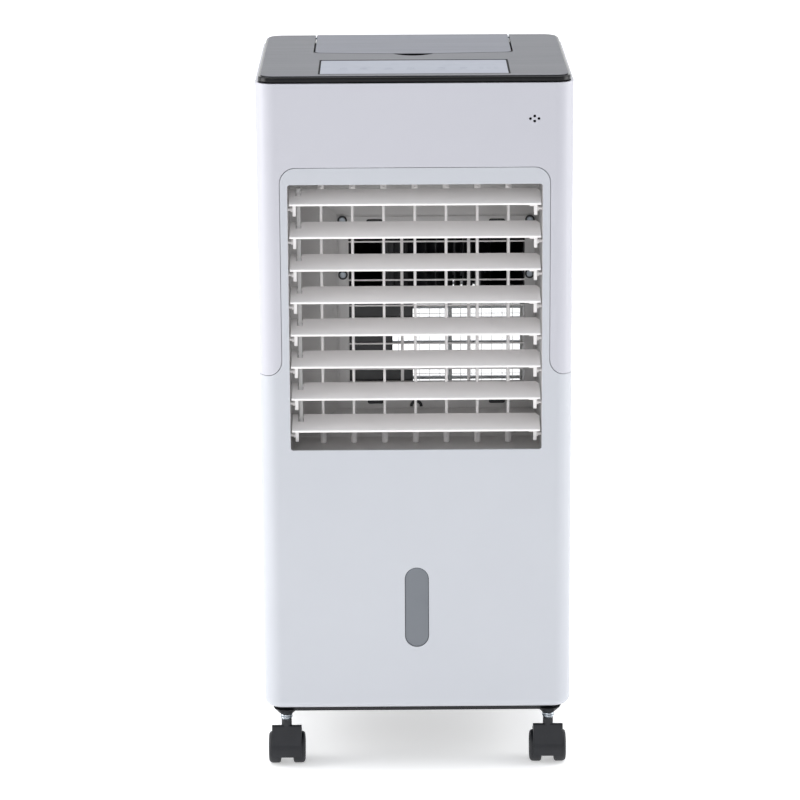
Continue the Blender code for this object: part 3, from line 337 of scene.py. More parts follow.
# Black rubber of the gaskets and the wells round the lid and the keys: no shine, so the gaps read dark
gasketRubber = mouldedPlastic(
    "black rubber moulded", "#0B0B0D", "#101012", 0.75, 0.6, 0.02, cloud=12, Specular_IOR_Level=0.15
)
# Black nylon with glass fibre: dull, with a coarse mould etch and dusty high spots
casterNylon = mouldedPlastic(
    "black glass filled nylon", "#141519", "#1E1F24", 0.5, 0.8, 0.05, cloud=14, Specular_IOR_Level=0.4
)
# Black polypropylene for the tray and what is out of sight: a dull soft black
trayPolypropylene = mouldedPlastic(
    "black polypropylene moulded", "#0B0C0F", "#18191D", 0.46, 1.2, 0.03, cloud=40, Specular_IOR_Level=0.35
)
# Black ABS of the blower parts, a little shiny so that their bends show
blowerAbs = mouldedPlastic("black ABS semi gloss", "#121214", "#1B1B1E", 0.32, 1.0, 0.01, cloud=50)
# Natural polypropylene for the tank and the tray: milky, light passes into it
tankPolypropylene = mouldedPlastic(
    "natural polypropylene blow moulded", "#BCC3C9", "#B0B8BF", 0.34, 2.2, 0.03, cloud=50,
    Subsurface_Weight=0.35, Subsurface_Scale=0.004,
)
# Stiff polypropylene net, extruded: pale cream, waxy
netPolypropylene = mouldedPlastic(
    "extruded polypropylene net", "#EFEDE6", "#E2DFD6", 0.5, 0.5, 0.02, cloud=20
)
# Smoked acrylic of the water gauge: grey, glossy, with a faint depth
gaugeAcrylic = mouldedPlastic(
    "smoked acrylic", "#5C6067", "#656A71", 0.2, 3.0, 0.003, cloud=40, Coat_Weight=0.6, Coat_Roughness=0.06
)
# Printed polycarbonate film over the touch keys: silver grey and even, glossier than the top around it
stripPolycarbonate = mouldedPlastic(
    "silver printed polycarbonate", "#8E929D", "#898D98", 0.42, 2.4, 0.003, cloud=50,
    Specular_IOR_Level=0.3,
)
# Screen printing ink on the film, thin and matt
printInk = mouldedPlastic("screen printing ink", "#7C828F", "#757B89", 0.5, 0.4, 0.004, cloud=8)
# Glass epoxy board with green solder mask
boardMask = mouldedPlastic("green solder mask", "#2E7443", "#286A3B", 0.35, 1.5, 0.01, cloud=12)


def brushedFilm(name, dark, light):
    # Aluminium look film, brushed from side to side: short streaks about 0.4 mm apart
    material, tree, shader, place = startMaterial(name, dark, 0.4, 0.4, Specular_IOR_Level=0.35)
    stretched = addNode(
        tree, "ShaderNodeMapping", {"Scale": (1 / (60 * mm), 1 / (0.4 * mm), 1 / (0.4 * mm))}, {
            "Vector": place
        }
    )
    streaks = addNode(
        tree, "ShaderNodeTexNoise", {"Scale": 1.0, "Detail": 3.0, "Roughness": 0.6},
        {"Vector": stretched.outputs["Vector"]},
    )
    broad = addNode(
        tree, "ShaderNodeMapping", {"Scale": (1 / (140 * mm), 1 / (9 * mm), 1 / (9 * mm))}, {"Vector": place}
    )
    bands = addNode(
        tree, "ShaderNodeTexNoise", {"Scale": 1.0, "Detail": 2.0}, {"Vector": broad.outputs["Vector"]}
    )
    both = addNode(
        tree, "ShaderNodeMath", {"operation": "ADD"}, {0: streaks.outputs["Fac"], 1: bands.outputs["Fac"]}
    )
    contrast = addNode(
        tree, "ShaderNodeMapRange", {"From Min": 0.7, "From Max": 1.3}, {"Value": both.outputs["Value"]}
    )
    tone = addNode(
        tree, "ShaderNodeMix", {"data_type": "RGBA", 6: toLinear(dark), 7: toLinear(light)},
        {0: contrast.outputs["Result"]},
    )
    tree.links.new(tone.outputs[2], shader.inputs["Base Color"])
    gloss = addNode(
        tree, "ShaderNodeMapRange", {"To Min": 0.34, "To Max": 0.48}, {"Value": streaks.outputs["Fac"]}
    )
    tree.links.new(gloss.outputs["Result"], shader.inputs["Roughness"])
    bump = addNode(
        tree, "ShaderNodeBump", {"Strength": 0.35, "Distance": 0.02 * mm}, {"Height": streaks.outputs["Fac"]}
    )
    tree.links.new(bump.outputs["Normal"], shader.inputs["Normal"])
    return material


topFilm = brushedFilm("brushed aluminium film", "#494A50", "#595A60")
lidFilm = brushedFilm("brushed aluminium film, pale", "#5C5E68", "#686A73")


def platedSteel(name, colour, roughness, scratch):
    # Zinc plate on pressed or turned steel: bright, slightly blue, with fine turning marks
    material, tree, shader, place = startMaterial(name, colour, roughness, 1.0)
    marks = addNode(
        tree, "ShaderNodeTexNoise", {"Scale": 1 / (scratch * mm), "Detail": 5.0}, {"Vector": place}
    )
    gloss = addNode(
        tree, "ShaderNodeMapRange", {"To Min": roughness - 0.08, "To Max": roughness + 0.12},
        {"Value": marks.outputs["Fac"]},
    )
    tree.links.new(gloss.outputs["Result"], shader.inputs["Roughness"])
    tone = addNode(
        tree, "ShaderNodeMix", {"data_type": "RGBA", 6: toLinear(colour), 7: toLinear("#A9AFB6")},
        {0: marks.outputs["Fac"]},
    )
    tree.links.new(tone.outputs[2], shader.inputs["Base Color"])
    bump = addNode(
        tree, "ShaderNodeBump", {"Strength": 0.3, "Distance": 0.02 * mm}, {"Height": marks.outputs["Fac"]}
    )
    tree.links.new(bump.outputs["Normal"], shader.inputs["Normal"])
    return material


stemZinc = platedSteel("zinc plated steel, turned", "#D5DADF", 0.22, 1.2)
sheetZinc = platedSteel("zinc plated steel sheet", "#B9BEC4", 0.38, 6.0)
# The same plate passivated dark, as on small screws
screwZinc = platedSteel("black passivated zinc", "#7A7D82", 0.34, 1.5)


def clearSheet(name, colour, alpha, roughness):
    # Clear polystyrene: nearly invisible face on, with a few wiping marks in its gloss
    material, tree, shader, place = startMaterial(name, colour, roughness, Alpha=alpha)
    marks = addNode(tree, "ShaderNodeTexNoise", {"Scale": 1 / (30 * mm), "Detail": 4.0}, {"Vector": place})
    gloss = addNode(
        tree, "ShaderNodeMapRange", {"To Min": roughness * 0.6, "To Max": roughness * 1.6},
        {"Value": marks.outputs["Fac"]},
    )
    tree.links.new(gloss.outputs["Result"], shader.inputs["Roughness"])
    bump = addNode(
        tree, "ShaderNodeBump", {"Strength": 0.1, "Distance": 0.05 * mm}, {"Height": marks.outputs["Fac"]}
    )
    tree.links.new(bump.outputs["Normal"], shader.inputs["Normal"])
    return material


baffleStyrene = clearSheet("clear polystyrene sheet", "#F4F7F8", 0.12, 0.08)
hoseVinyl = clearSheet("clear vinyl hose", "#E9EEF0", 0.45, 0.16)
print("materials ready")


cameraValues = {
    "focal": 153.1, "sensor": 36.0, "distance": 3298.8, "height": 1180.7,
    "pitch": 14.264, "turn": -0.385, "roll": -0.272, "shift": -0.01874,
}


def setCamera(v):
    data = bpy.data.cameras.new("studioCamera")
    data.lens, data.sensor_width, data.shift_x = v["focal"], v["sensor"], v["shift"]
    data.clip_end = 50
    camera = bpy.data.objects.new("studioCamera", data)
    bpy.context.scene.collection.objects.link(camera)
    orbit = Matrix.Rotation(math.radians(v["turn"]), 4, "Z")
    tilt = Matrix.Rotation(math.radians(90 - v["pitch"]), 4, "X") @ Matrix.Rotation(
        math.radians(v["roll"]), 4, "Z"
    )
    camera.matrix_world = orbit @ Matrix.Translation((0, -v["distance"] * mm, v["height"] * mm)) @ tilt
    bpy.context.scene.camera = camera


setCamera(cameraValues)

lightValues = {
    "sky": (0.93, 0.96, 1.0), "skyStrength": 0.6,
    "lamps": {
        # name: place in metres, size in metres, watts
        "leftPanel": ((-2.2, -0.3, 1.0), (1.4, 2.4), 38),
        "rightPanel": ((2.2, -0.1, 1.0), (1.4, 2.4), 28),
        "topPanel": ((0.0, 0.6, 2.8), (2.4, 2.0), 35),
        "frontPanel": ((-1.4, -3.4, 1.7), (2.0, 2.0), 14),
    },
}


def setLights(v):
    world = bpy.data.worlds.new("studio")
    bpy.context.scene.world = world
    world.use_nodes = True
    sky = world.node_tree.nodes["Background"]
    sky.inputs["Color"].default_value = (*v["sky"], 1)
    sky.inputs["Strength"].default_value = v["skyStrength"]
    target = Vector((0, 0, 0.36))
    for name, (place, size, watts) in v["lamps"].items():
        data = bpy.data.lights.new(name, "AREA")
        data.shape, data.size, data.size_y, data.energy = "RECTANGLE", size[0], size[1], watts
        lamp = bpy.data.objects.new(name, data)
        lamp.location = place
        lamp.rotation_euler = (target - Vector(place)).to_track_quat("-Z", "Y").to_euler()
        bpy.context.scene.collection.objects.link(lamp)
    bpy.context.scene.view_settings.view_transform = "Standard"


setLights(lightValues)

stageValues = {
    "colour": "#FDFDFD", "glow": 0.42, "front": -9.0, "rear": 7.0, "halfWidth": 9.0, "height": 9.0,
    "bend": 2.4,
}


def setStage(v):
    # a paper sweep: floor, one soft bend, and the wall behind
    bm = bmesh.new()
    corners = [(v["front"], 0), (v["rear"], 0), (v["rear"], v["height"])]
    verts = [bm.verts.new((-v["halfWidth"], y, z)) for y, z in corners]
    edges = [bm.edges.new(pair) for pair in zip(verts, verts[1:])]
    bmesh.ops.bevel(
        bm, geom=[verts[1]], offset=v["bend"], offset_type="OFFSET", segments=16, profile=0.5,
        affect="VERTICES", material=-1,
    )
    grown = bmesh.ops.extrude_edge_only(bm, edges=bm.edges[:])["geom"]
    moved = [item for item in grown if isinstance(item, bmesh.types.BMVert)]
    bmesh.ops.translate(bm, verts=moved, vec=(2 * v["halfWidth"], 0, 0))
    bmesh.ops.recalc_face_normals(bm, faces=bm.faces[:])
    mesh = bpy.data.meshes.new("paperSweep")
    bm.to_mesh(mesh)
    bm.free()
    mesh.shade_smooth()
    material, tree, shader, place = startMaterial("white background paper", v["colour"], 0.9)
    fibre = addNode(tree, "ShaderNodeTexNoise", {"Scale": 1 / (4 * mm), "Detail": 3.0}, {"Vector": place})
    bump = addNode(
        tree, "ShaderNodeBump", {"Strength": 0.05, "Distance": 0.05 * mm}, {"Height": fibre.outputs["Fac"]}
    )
    tree.links.new(bump.outputs["Normal"], shader.inputs["Normal"])
    # lit from below like a light table, so that no dark pool forms under the object
    shader.inputs["Emission Color"].default_value = toLinear(v["colour"])
    shader.inputs["Emission Strength"].default_value = v["glow"]
    mesh.materials.append(material)
    sweep = bpy.data.objects.new("paperSweep", mesh)
    bpy.context.scene.collection.objects.link(sweep)


setStage(stageValues)
print("camera, lights and floor ready")


casing = {
    "wall": 2.6, "frontRound": 18, "rearRound": 10, "bottomRound": 8,
    "seamSide": 128.2, "seamShoulder": 402, "seamTop": 603.6, "seamRound": 15, "seamGap": 0.5,
    "outletHalf": 120.7, "outletLow": 328, "outletHigh": 587.3, "outletRound": 2.5,
    "edge": 0.55,
}


def casingShell(low, high, rounding, openRear):
    bm = newBlock(low, high)
    closedY = (low if openRear else high)[1] * mm
    openY = (high if openRear else low)[1] * mm
    upEdges = [
        edge for edge in bm.edges
        if all(abs(vert.co.y - closedY) < 1e-5 for vert in edge.verts)
        and abs(edge.verts[0].co.z - edge.verts[1].co.z) > 1e-3
    ]
    bmesh.ops.bevel(
        bm, geom=upEdges, offset=rounding * mm, offset_type="OFFSET", segments=14, profile=0.5,
        affect="EDGES",
        material=-1,
    )
    lowEdges = [
        edge for edge in bm.edges
        if all(abs(vert.co.z - low[2] * mm) < 1e-5 for vert in edge.verts)
        and not all(abs(vert.co.y - openY) < 1e-5 for vert in edge.verts)
    ]
    bmesh.ops.bevel(
        bm, geom=lowEdges, offset=casing["bottomRound"] * mm, offset_type="OFFSET", segments=6, profile=0.5,
        affect="EDGES", material=-1,
    )
    unwanted = [
        face for face in bm.faces
        if abs(face.calc_center_median().y - openY) < 1e-5 or abs(face.normal.z) > 0.99
    ]
    bmesh.ops.delete(bm, geom=unwanted, context="FACES")
    return withModifiers(bm, ("SOLIDIFY", {"thickness": casing["wall"] * mm, "offset": -1}))


def seamCutter(inset, far, endZ):
    v = casing
    side, shoulder, top = v["seamSide"] - inset, v["seamShoulder"] - inset, v["seamTop"] - inset
    corners = [
        (far, shoulder, 0), (side, shoulder, v["seamRound"]), (side, top, v["seamRound"]),
        (-side, top, v["seamRound"]), (-side, shoulder, v["seamRound"]), (-far, shoulder, 0),
        (-far, endZ, 0), (far, endZ, 0),
    ]
    return newPlate(corners, -200, 200, upright, 10)


def finishCasing(bm, lip=0.0):
    # the outer edges of the panel and its mouth carry a wide round lip, the rest are just broken
    tidyMesh(bm)
    if lip:
        softenEdges(bm, lip, 4, 50, lambda middle: middle.y < -139.9 or abs(middle.x) > 149.9)
    softenEdges(bm, casing["edge"], 3, 50)
    return bm


def makeCasing(v):
    wholeLow = (-150, -140, boxCorners("lower_casing")[0][2])
    wholeHigh = (150, boxCorners("lower_casing")[1][1], boxCorners("upper_casing")[1][2])
    sensor = (112.7, 649.4)
    holes = gather(*[
        newRod(1.35, 20, (sensor[0] + dx, -138, sensor[1] + dz), "Y", 20)
        for dx, dz in ((-4, 0), (0, 2.4), (4, 0), (0, -2.4))
    ])
    upper = carve(casingShell(wholeLow, wholeHigh, v["frontRound"], True), seamCutter(0, 200, 0), holes)
    makePiece("upperCasing", finishCasing(upper), upperAbs, "cooler", ("upper_casing",))
    # painted shade: a black rubber disc just behind the sensor holes, so that they read dark as shaded holes
    # do
    holeShadeDisc = newRod(8.5, 1.6, (sensor[0], -136.5, sensor[1]), "Y", 40)
    softenEdges(holeShadeDisc, 0.4, 2, 50)
    makePiece("sensorHoleShadeDisc", holeShadeDisc, gasketRubber, "cooler", ())

    outlet = newPlate(
        rectangle(v["outletHalf"], v["outletLow"], v["outletHigh"], v["outletRound"]), 120, 160, upright, 4
    )
    gaugeLow, gaugeHigh = 169.4 - 40.4, 169.4 + 40.4
    gaugeSlot = newPlate(rectangle(11.75, gaugeLow, gaugeHigh, 11.74), 120, 160, upright, 16)
    lower = carve(
        casingShell(wholeLow, wholeHigh, v["frontRound"], True),
        seamCutter(v["seamGap"], 200, 800), outlet, gaugeSlot,
    )
    makePiece("lowerCasing", finishCasing(lower, 1.2), casingAbs, "cooler", ("lower_casing",))

    low, high = boxCorners("rear_housing")
    grilleLow, grilleHigh = boxCorners("rear_grille")
    grip = newPlate([(x, y + 636, r) for x, y, r in rectangle(55, -13, 13, 8)], -160, -120, upright, 8)
    rear = carve(
        casingShell(low, (150, high[1], wholeHigh[2]), v["rearRound"], False),
        newBlock(
            (grilleLow[0] - 0.5, 120, grilleLow[2] - 0.5),
            (grilleHigh[0] + 0.5, 160, grilleHigh[2] + 0.5),
        ),
        newBlock((-122, 126, 76.5), (122, 160, 239)),
        newBlock((-100, 120, 681.8), (100, 160, 700)),
        grip,
        newRod(3, 40, (0, 137, 250.5), "Y"),
        newRod(6.4, 40, (132, 137, 250.5), "Y"),
    )
    makePiece("rearHousing", finishCasing(rear), casingAbs, "cooler", ("rear_housing",))


makeCasing(casing)
print("casing made")


gauge = {"half": 11.3, "end": 39.95, "middle": 169.4, "front": -139.2, "back": -136.4, "dome": 0.7}


def makeGauge(v):
    lens = newPlate(
        rectangle(v["half"], v["middle"] - v["end"], v["middle"] + v["end"], v["half"] - 0.01),
        -v["back"], -v["front"], upright, 20,
    )
    softenEdges(lens, v["dome"], 4, 50)
    low, high = boxCorners("gauge_window")
    flange = newPlate(
        rectangle(high[0], low[2], high[2], high[0] - 0.01), -high[1], -high[1] + 1.7, upright, 20
    )
    makePiece("gaugeWindow", weld(lens, flange), gaugeAcrylic, "cooler", ("gauge_window",))


makeGauge(gauge)


top = {
    "rimRound": 16, "plateRound": 14, "rimEdge": 1.7, "lidGap": 1.2, "lidHalf": 96.5, "lidFront": 12.5,
    "lidRear": 136, "bow": 7, "lidCorner": 7, "fingerHalf": 21, "fingerDepth": 14,
    "stripHalf": 89, "stripFront": -121.5, "stripRear": -38, "stripGap": 0.6, "bezelSide": 1.1,
    "bezelEnd": 2.6,
    "skin": 0.45, "skinInset": 0.5,
    "markInk": 0.04, "markY": -88,
}


def lidCorners(gap, rear):
    # the lid from above: two rounded front corners with a gentle bow between them
    half, front = top["lidHalf"] + gap, top["lidFront"] - gap
    corners = [(half, rear, 0), (-half, rear, 0), (-half, front, top["lidCorner"])]
    for step in range(1, 16):
        along = -1 + step / 8
        corners.append((along * (half - 10), front - top["bow"] * (1 - along ** 2), 0))
    return corners + [(half, front, top["lidCorner"])]


def fingerCorners():
    base = top["lidFront"] - top["bow"] + 4
    corners = [(top["fingerHalf"], base, 0), (-top["fingerHalf"], base, 0)]
    for step in range(1, 16):
        along = -1 + step / 8
        corners.append((along * top["fingerHalf"], base - 4 - top["fingerDepth"] * (1 - along ** 2), 0))
    return corners


def makeTop(v):
    low, high = boxCorners("top_rim")
    side, end = v["stripGap"] + v["bezelSide"], v["stripGap"] + v["bezelEnd"]
    seat = newBlock(
        (-v["stripHalf"] - side, v["stripFront"] - end, 687.7), (
            v["stripHalf"] + side, v["stripRear"] + end, 720
        )
    )
    bezel = carve(
        newBlock(
            (-v["stripHalf"] - side + 0.1, v["stripFront"] - end + 0.1, 687.9),
            (v["stripHalf"] + side - 0.1, v["stripRear"] + end - 0.1, 689.9),
        ),
        newBlock(
            (-v["stripHalf"] - 0.2, v["stripFront"] - 0.2, 680), (
                v["stripHalf"] + 0.2, v["stripRear"] + 0.2, 700
            )
        ),
    )
    softenEdges(bezel, 0.25, 2, 50)
    makePiece("stripBezel", bezel, gasketRubber, "cooler", ())
    rim = newPlate(
        [(low[0], low[1], v["rimRound"]), (high[0], low[1], v["rimRound"]),
         (high[0], high[1], v["rimRound"]), (low[0], high[1], v["rimRound"])], low[2], high[2], None, 16,
    )
    softenEdges(rim, v["rimEdge"], 4, 50)
    rim = carve(
        rim, newPlate(lidCorners(v["lidGap"], 160), 660, 720), newPlate(fingerCorners(), 685.2, 720),
        seat.copy(),
        newRod(1.5, 202, (0, 133.4, 686.8), "X", 16),
    )
    tidyMesh(rim)
    makePiece("topRim", rim, rimAbs, "cooler", ("top_rim",))
    well = newPlate(fingerCorners(), 685.3, 685.9)
    makePiece("fingerWell", well, gasketRubber, "cooler", ())

    plateLow, plateHigh = boxCorners("top_plate")
    plate = newPlate(
        [(plateLow[0], plateLow[1], v["plateRound"]), (plateHigh[0], plateLow[1], v["plateRound"]),
         (plateHigh[0], plateHigh[1], v["plateRound"]), (plateLow[0], plateHigh[1], v["plateRound"])],
        plateLow[2], plateHigh[2], None, 16,
    )
    plate = carve(
        plate, newPlate(lidCorners(v["lidGap"], 160), 660, 720), newPlate(fingerCorners(), 660, 720), seat
    )
    tidyMesh(plate)
    softenEdges(plate, 0.2, 2, 50)
    makePiece("topPlate", plate, topFilm, "cooler", ("top_plate",))

    lidLow, lidHigh = boxCorners("fill_lid")
    skinZ = lidHigh[2] - v["skin"]
    lid = newPlate(lidCorners(0, v["lidRear"]), lidLow[2], skinZ - 0.02, None, 10)
    softenEdges(lid, 0.4, 3, 50)
    lid = carve(lid, newRod(1.55, 220, (0, 133.4, 686.8), "X", 16))
    makePiece("fillLid", lid, gasketRubber, "lid", ("fill_lid",))
    skin = newPlate(lidCorners(-v["skinInset"], v["lidRear"] - v["skinInset"]), skinZ, lidHigh[2], None, 10)
    softenEdges(skin, 0.15, 2, 50)
    makePiece("lidSkin", skin, lidFilm, "lid", ())
    pin = newRod(1.15, 201, (0, 133.4, 686.8), "X", 24)
    softenEdges(pin, 0.3, 2, 50)
    makePiece("lidHingePin", pin, stemZinc, "cooler", ("lid_hinge_pin",))

    stripLow, stripHigh = boxCorners("control_strip")
    strip = newPlate(
        [(stripLow[0], stripLow[1], 1.5), (stripHigh[0], stripLow[1], 1.5),
         (stripHigh[0], stripHigh[1], 1.5), (stripLow[0], stripHigh[1], 1.5)],
        stripLow[2], stripHigh[2] - 2 * v["markInk"], None, 4,
    )
    softenEdges(strip, 0.3, 2, 50)
    makePiece("controlStrip", strip, stripPolycarbonate, "cooler", ("control_strip",))
    marks = []
    inkLow, inkHigh = stripHigh[2] - 2 * v["markInk"] - 0.01, stripHigh[2] - v["markInk"]
    for place in (-67, -48, -24, -3, 26, 47):
        ring = carve(
            newRod(3.4, inkHigh - inkLow, (place, v["markY"], (inkLow + inkHigh) / 2), "Z", 32),
            newRod(2.8, 4, (place, v["markY"], inkLow), "Z", 32),
        )
        marks.append(ring)
        marks.append(
            newBlock((place - 1.4, v["markY"] - 0.35, inkLow), (place + 1.4, v["markY"] + 0.35, inkHigh))
        )
        marks.append(newBlock((place - 5, v["markY"] - 9.3, inkLow), (place + 5, v["markY"] - 8.5, inkHigh)))
    for place in (64, 71, 78):
        marks.append(newBlock((place - 2, v["markY"] - 4, inkLow), (place + 2, v["markY"] - 3.3, inkHigh)))
        marks.append(newBlock((place - 2, v["markY"] + 3.3, inkLow), (place + 2, v["markY"] + 4, inkHigh)))
    makePiece("touchMarks", gather(*marks), printInk, "cooler", ())


makeTop(top)
print("top made")


louvre = {
    "count": 8, "pitch": 31.6, "pivotY": -125.4, "topZ": 561.2, "tilt": 18, "half": 119.3,
    "front": -10, "rear": 20.4, "rise": 10, "thick": 2.0, "lip": 3.0,
    "lugX": 113, "lugWidth": 3.2, "pinReach": 122.3, "pin": 1.5,
    "crankY": 16, "notchX": -108.2, "notchEnd": -113.6, "notchY": 6.5, "lugDrop": 7,
}


def louvreShape(v):
    # side view of the blade: a thin plate with a rounded, slightly thicker lip in front
    upper, lower = v["rise"] + v["thick"] / 2, v["rise"] - v["thick"] / 2
    section = [
        (v["front"], upper - v["lip"] + 0.6, 0.9), (v["front"] + 2.2, lower - 0.6, 0.5),
        (v["front"] + 3.6, lower, 0.8),
        (v["rear"], lower, 0.9), (v["rear"], upper, 0.9), (v["front"], upper, 0.9),
    ]
    blade = newPlate(section, -v["half"], v["half"], sideways, 4)
    softenEdges(blade, 0.35, 2, 60)
    blade = carve(
        blade,
        newBlock((v["notchEnd"], v["notchY"], 0), (v["notchX"], v["rear"] + 5, 20)),
        newPlate(
            [
                (v["half"] - 4.5, v["rear"] + 1, 0), (v["half"] + 2, v["rear"] - 9, 0),
                (v["half"] + 2, v["rear"] + 2, 0),
            ],
            0, 20,
        ),
    )
    parts = []
    for side in (-1, 1):
        outer, inner = side * (v["lugX"] + v["lugWidth"]), side * v["lugX"]
        low, high = min(outer, inner), max(outer, inner)
        lug = [
            (4, v["rise"], 0), (-4, v["rise"], 0), (-4, -v["lugDrop"], 3), (4, -v["lugDrop"] + 2, 3.9),
        ]
        lugBody = newPlate(lug, low, high, sideways, 8)
        softenEdges(lugBody, 0.3, 2, 60)
        parts.append(lugBody)
        start = v["lugX"] + 1
        parts.append(
            newRod(v["pin"], v["pinReach"] - start, (side * (start + v["pinReach"]) / 2, 0, 0), "X", 20)
        )
        parts.append(newRod(2.6, 2.2, (side * (v["lugX"] + v["lugWidth"] + 0.6), 0, 0), "X", 20))
    # the right lug has a step on its inner side, where no link bar passes
    parts.append(newBlock((v["lugX"] - 4.2, -2.4, 3.4), (v["lugX"] + 0.5, 2.4, v["rise"] - 0.3)))
    parts.append(newRod(1.3, 7.6, (v["notchX"] - 0.8, v["crankY"], v["rise"]), "X", 16))
    return weld(blade, *parts)


def makeLouvres(v):
    shape = louvreShape(v)
    tilt = Matrix.Rotation(math.radians(v["tilt"]), 4, "X")
    for index in range(v["count"]):
        matrix = shift(0, v["pivotY"], v["topZ"] - v["pitch"] * index) @ tilt
        node = f"louvre_{index + 1}"
        makePiece(f"louvre{index + 1}", copyOf(shape, matrix), louvreAbs, node, (node,))
    shape.free()
    refine("louvre_link", ductPolypropylene, 0.5, 2)


makeLouvres(louvre)
print("louvres made")


vane = {
    "count": 7, "pitch": 30, "pivotY": -92, "front": -5, "rear": 19, "thick": 2.6, "low": 333, "high": 577.2,
    "boss": 3, "bossLow": 323.5, "bossHigh": 586.8, "pin": 1.5, "pinLow": 321.2, "pinHigh": 589.1,
    "crankY": 13, "crankHigh": 581,
}


def vaneShape(v):
    # seen from above: a thin blade with a round nose
    nose = v["thick"] / 2
    section = [
        (-nose, v["front"], 0.9), (nose, v["front"], 0.9), (nose, v["rear"], 0.8), (-nose, v["rear"], 0.8)
    ]
    blade = newPlate(section, v["low"], v["high"], None, 4)
    parts = []
    for low, high, radius, y in (
        (v["bossLow"], v["low"] + 3, v["boss"], 0), (v["high"] - 3, v["bossHigh"], v["boss"], 0),
        (v["pinLow"], v["low"] + 1, v["pin"], 0), (v["high"] - 1, v["pinHigh"], v["pin"], 0),
        (v["high"] - 2, v["crankHigh"], 1.3, v["crankY"]),
    ):
        rod = newRod(radius, high - low, (0, y, (low + high) / 2), "Z", 24)
        softenEdges(rod, 0.3, 2, 50)
        parts.append(rod)
    return weld(blade, *parts)


def makeVanes(v):
    shape = vaneShape(v)
    for index in range(v["count"]):
        x = v["pitch"] * (index - (v["count"] - 1) / 2)
        node = f"vane_{index + 1}"
        makePiece(
            f"vane{index + 1}", copyOf(shape, shift(x, v["pivotY"], 0)), louvreAbs, node, (node,),
        )
    shape.free()
    refine("vane_link", ductPolypropylene, 0.4, 2)


makeVanes(vane)
print("vanes made")


duct = {
    "mouthHalf": 120.7, "mouthLow": 323, "mouthHigh": 587.3, "front": -136.9, "bend": -70, "rear": -40,
    "panel": (-76, 118, 344, 539), "window": (-64.5, 107.7, 371, 521), "wall": 2.1, "edge": 0.9,
    "slots": [(x, z) for x in (-39, 80.5) for z in (351.5, 532.5)], "slotHalf": 9, "slotRise": 1.3,
    "bearing": 2.0, "plateFront": -41.5, "plateInset": 1.6, "archX": 1, "archZ": 347,
    "screws": [(-70.4, 533.8), (-70.2, 479.5), (112.6, 533.6), (112.5, 479.8)], "screwHead": 3.1,
}


def funnelShape(v):
    # four rings of corners from the mouth to the window, joined by flat walls, then given their thickness
    bm = bmesh.new()
    half = v["mouthHalf"]
    rings = []
    for (left, right, low, high), y in (
        ((-half, half, v["mouthLow"], v["mouthHigh"]), v["front"]),
        ((-half, half, v["mouthLow"], v["mouthHigh"]), v["bend"]),
        (v["panel"], v["rear"]), (v["window"], v["rear"]),
    ):
        corners = ((left, low), (right, low), (right, high), (left, high))
        rings.append([bm.verts.new((x * mm, y * mm, z * mm)) for x, z in corners])
    for first, second in zip(rings, rings[1:]):
        for index in range(4):
            bm.faces.new((first[index - 1], first[index], second[index], second[index - 1]))
    bmesh.ops.recalc_face_normals(bm, faces=bm.faces[:])
    side = next(face for face in bm.faces if face.calc_center_median().x > (half - 0.1) * mm)
    outward = side.normal.x > 0
    bm = withModifiers(bm, ("SOLIDIFY", {
        "thickness": v["wall"] * mm, "offset": 1 if outward else -1, "use_even_offset": True,
    }))
    return bm


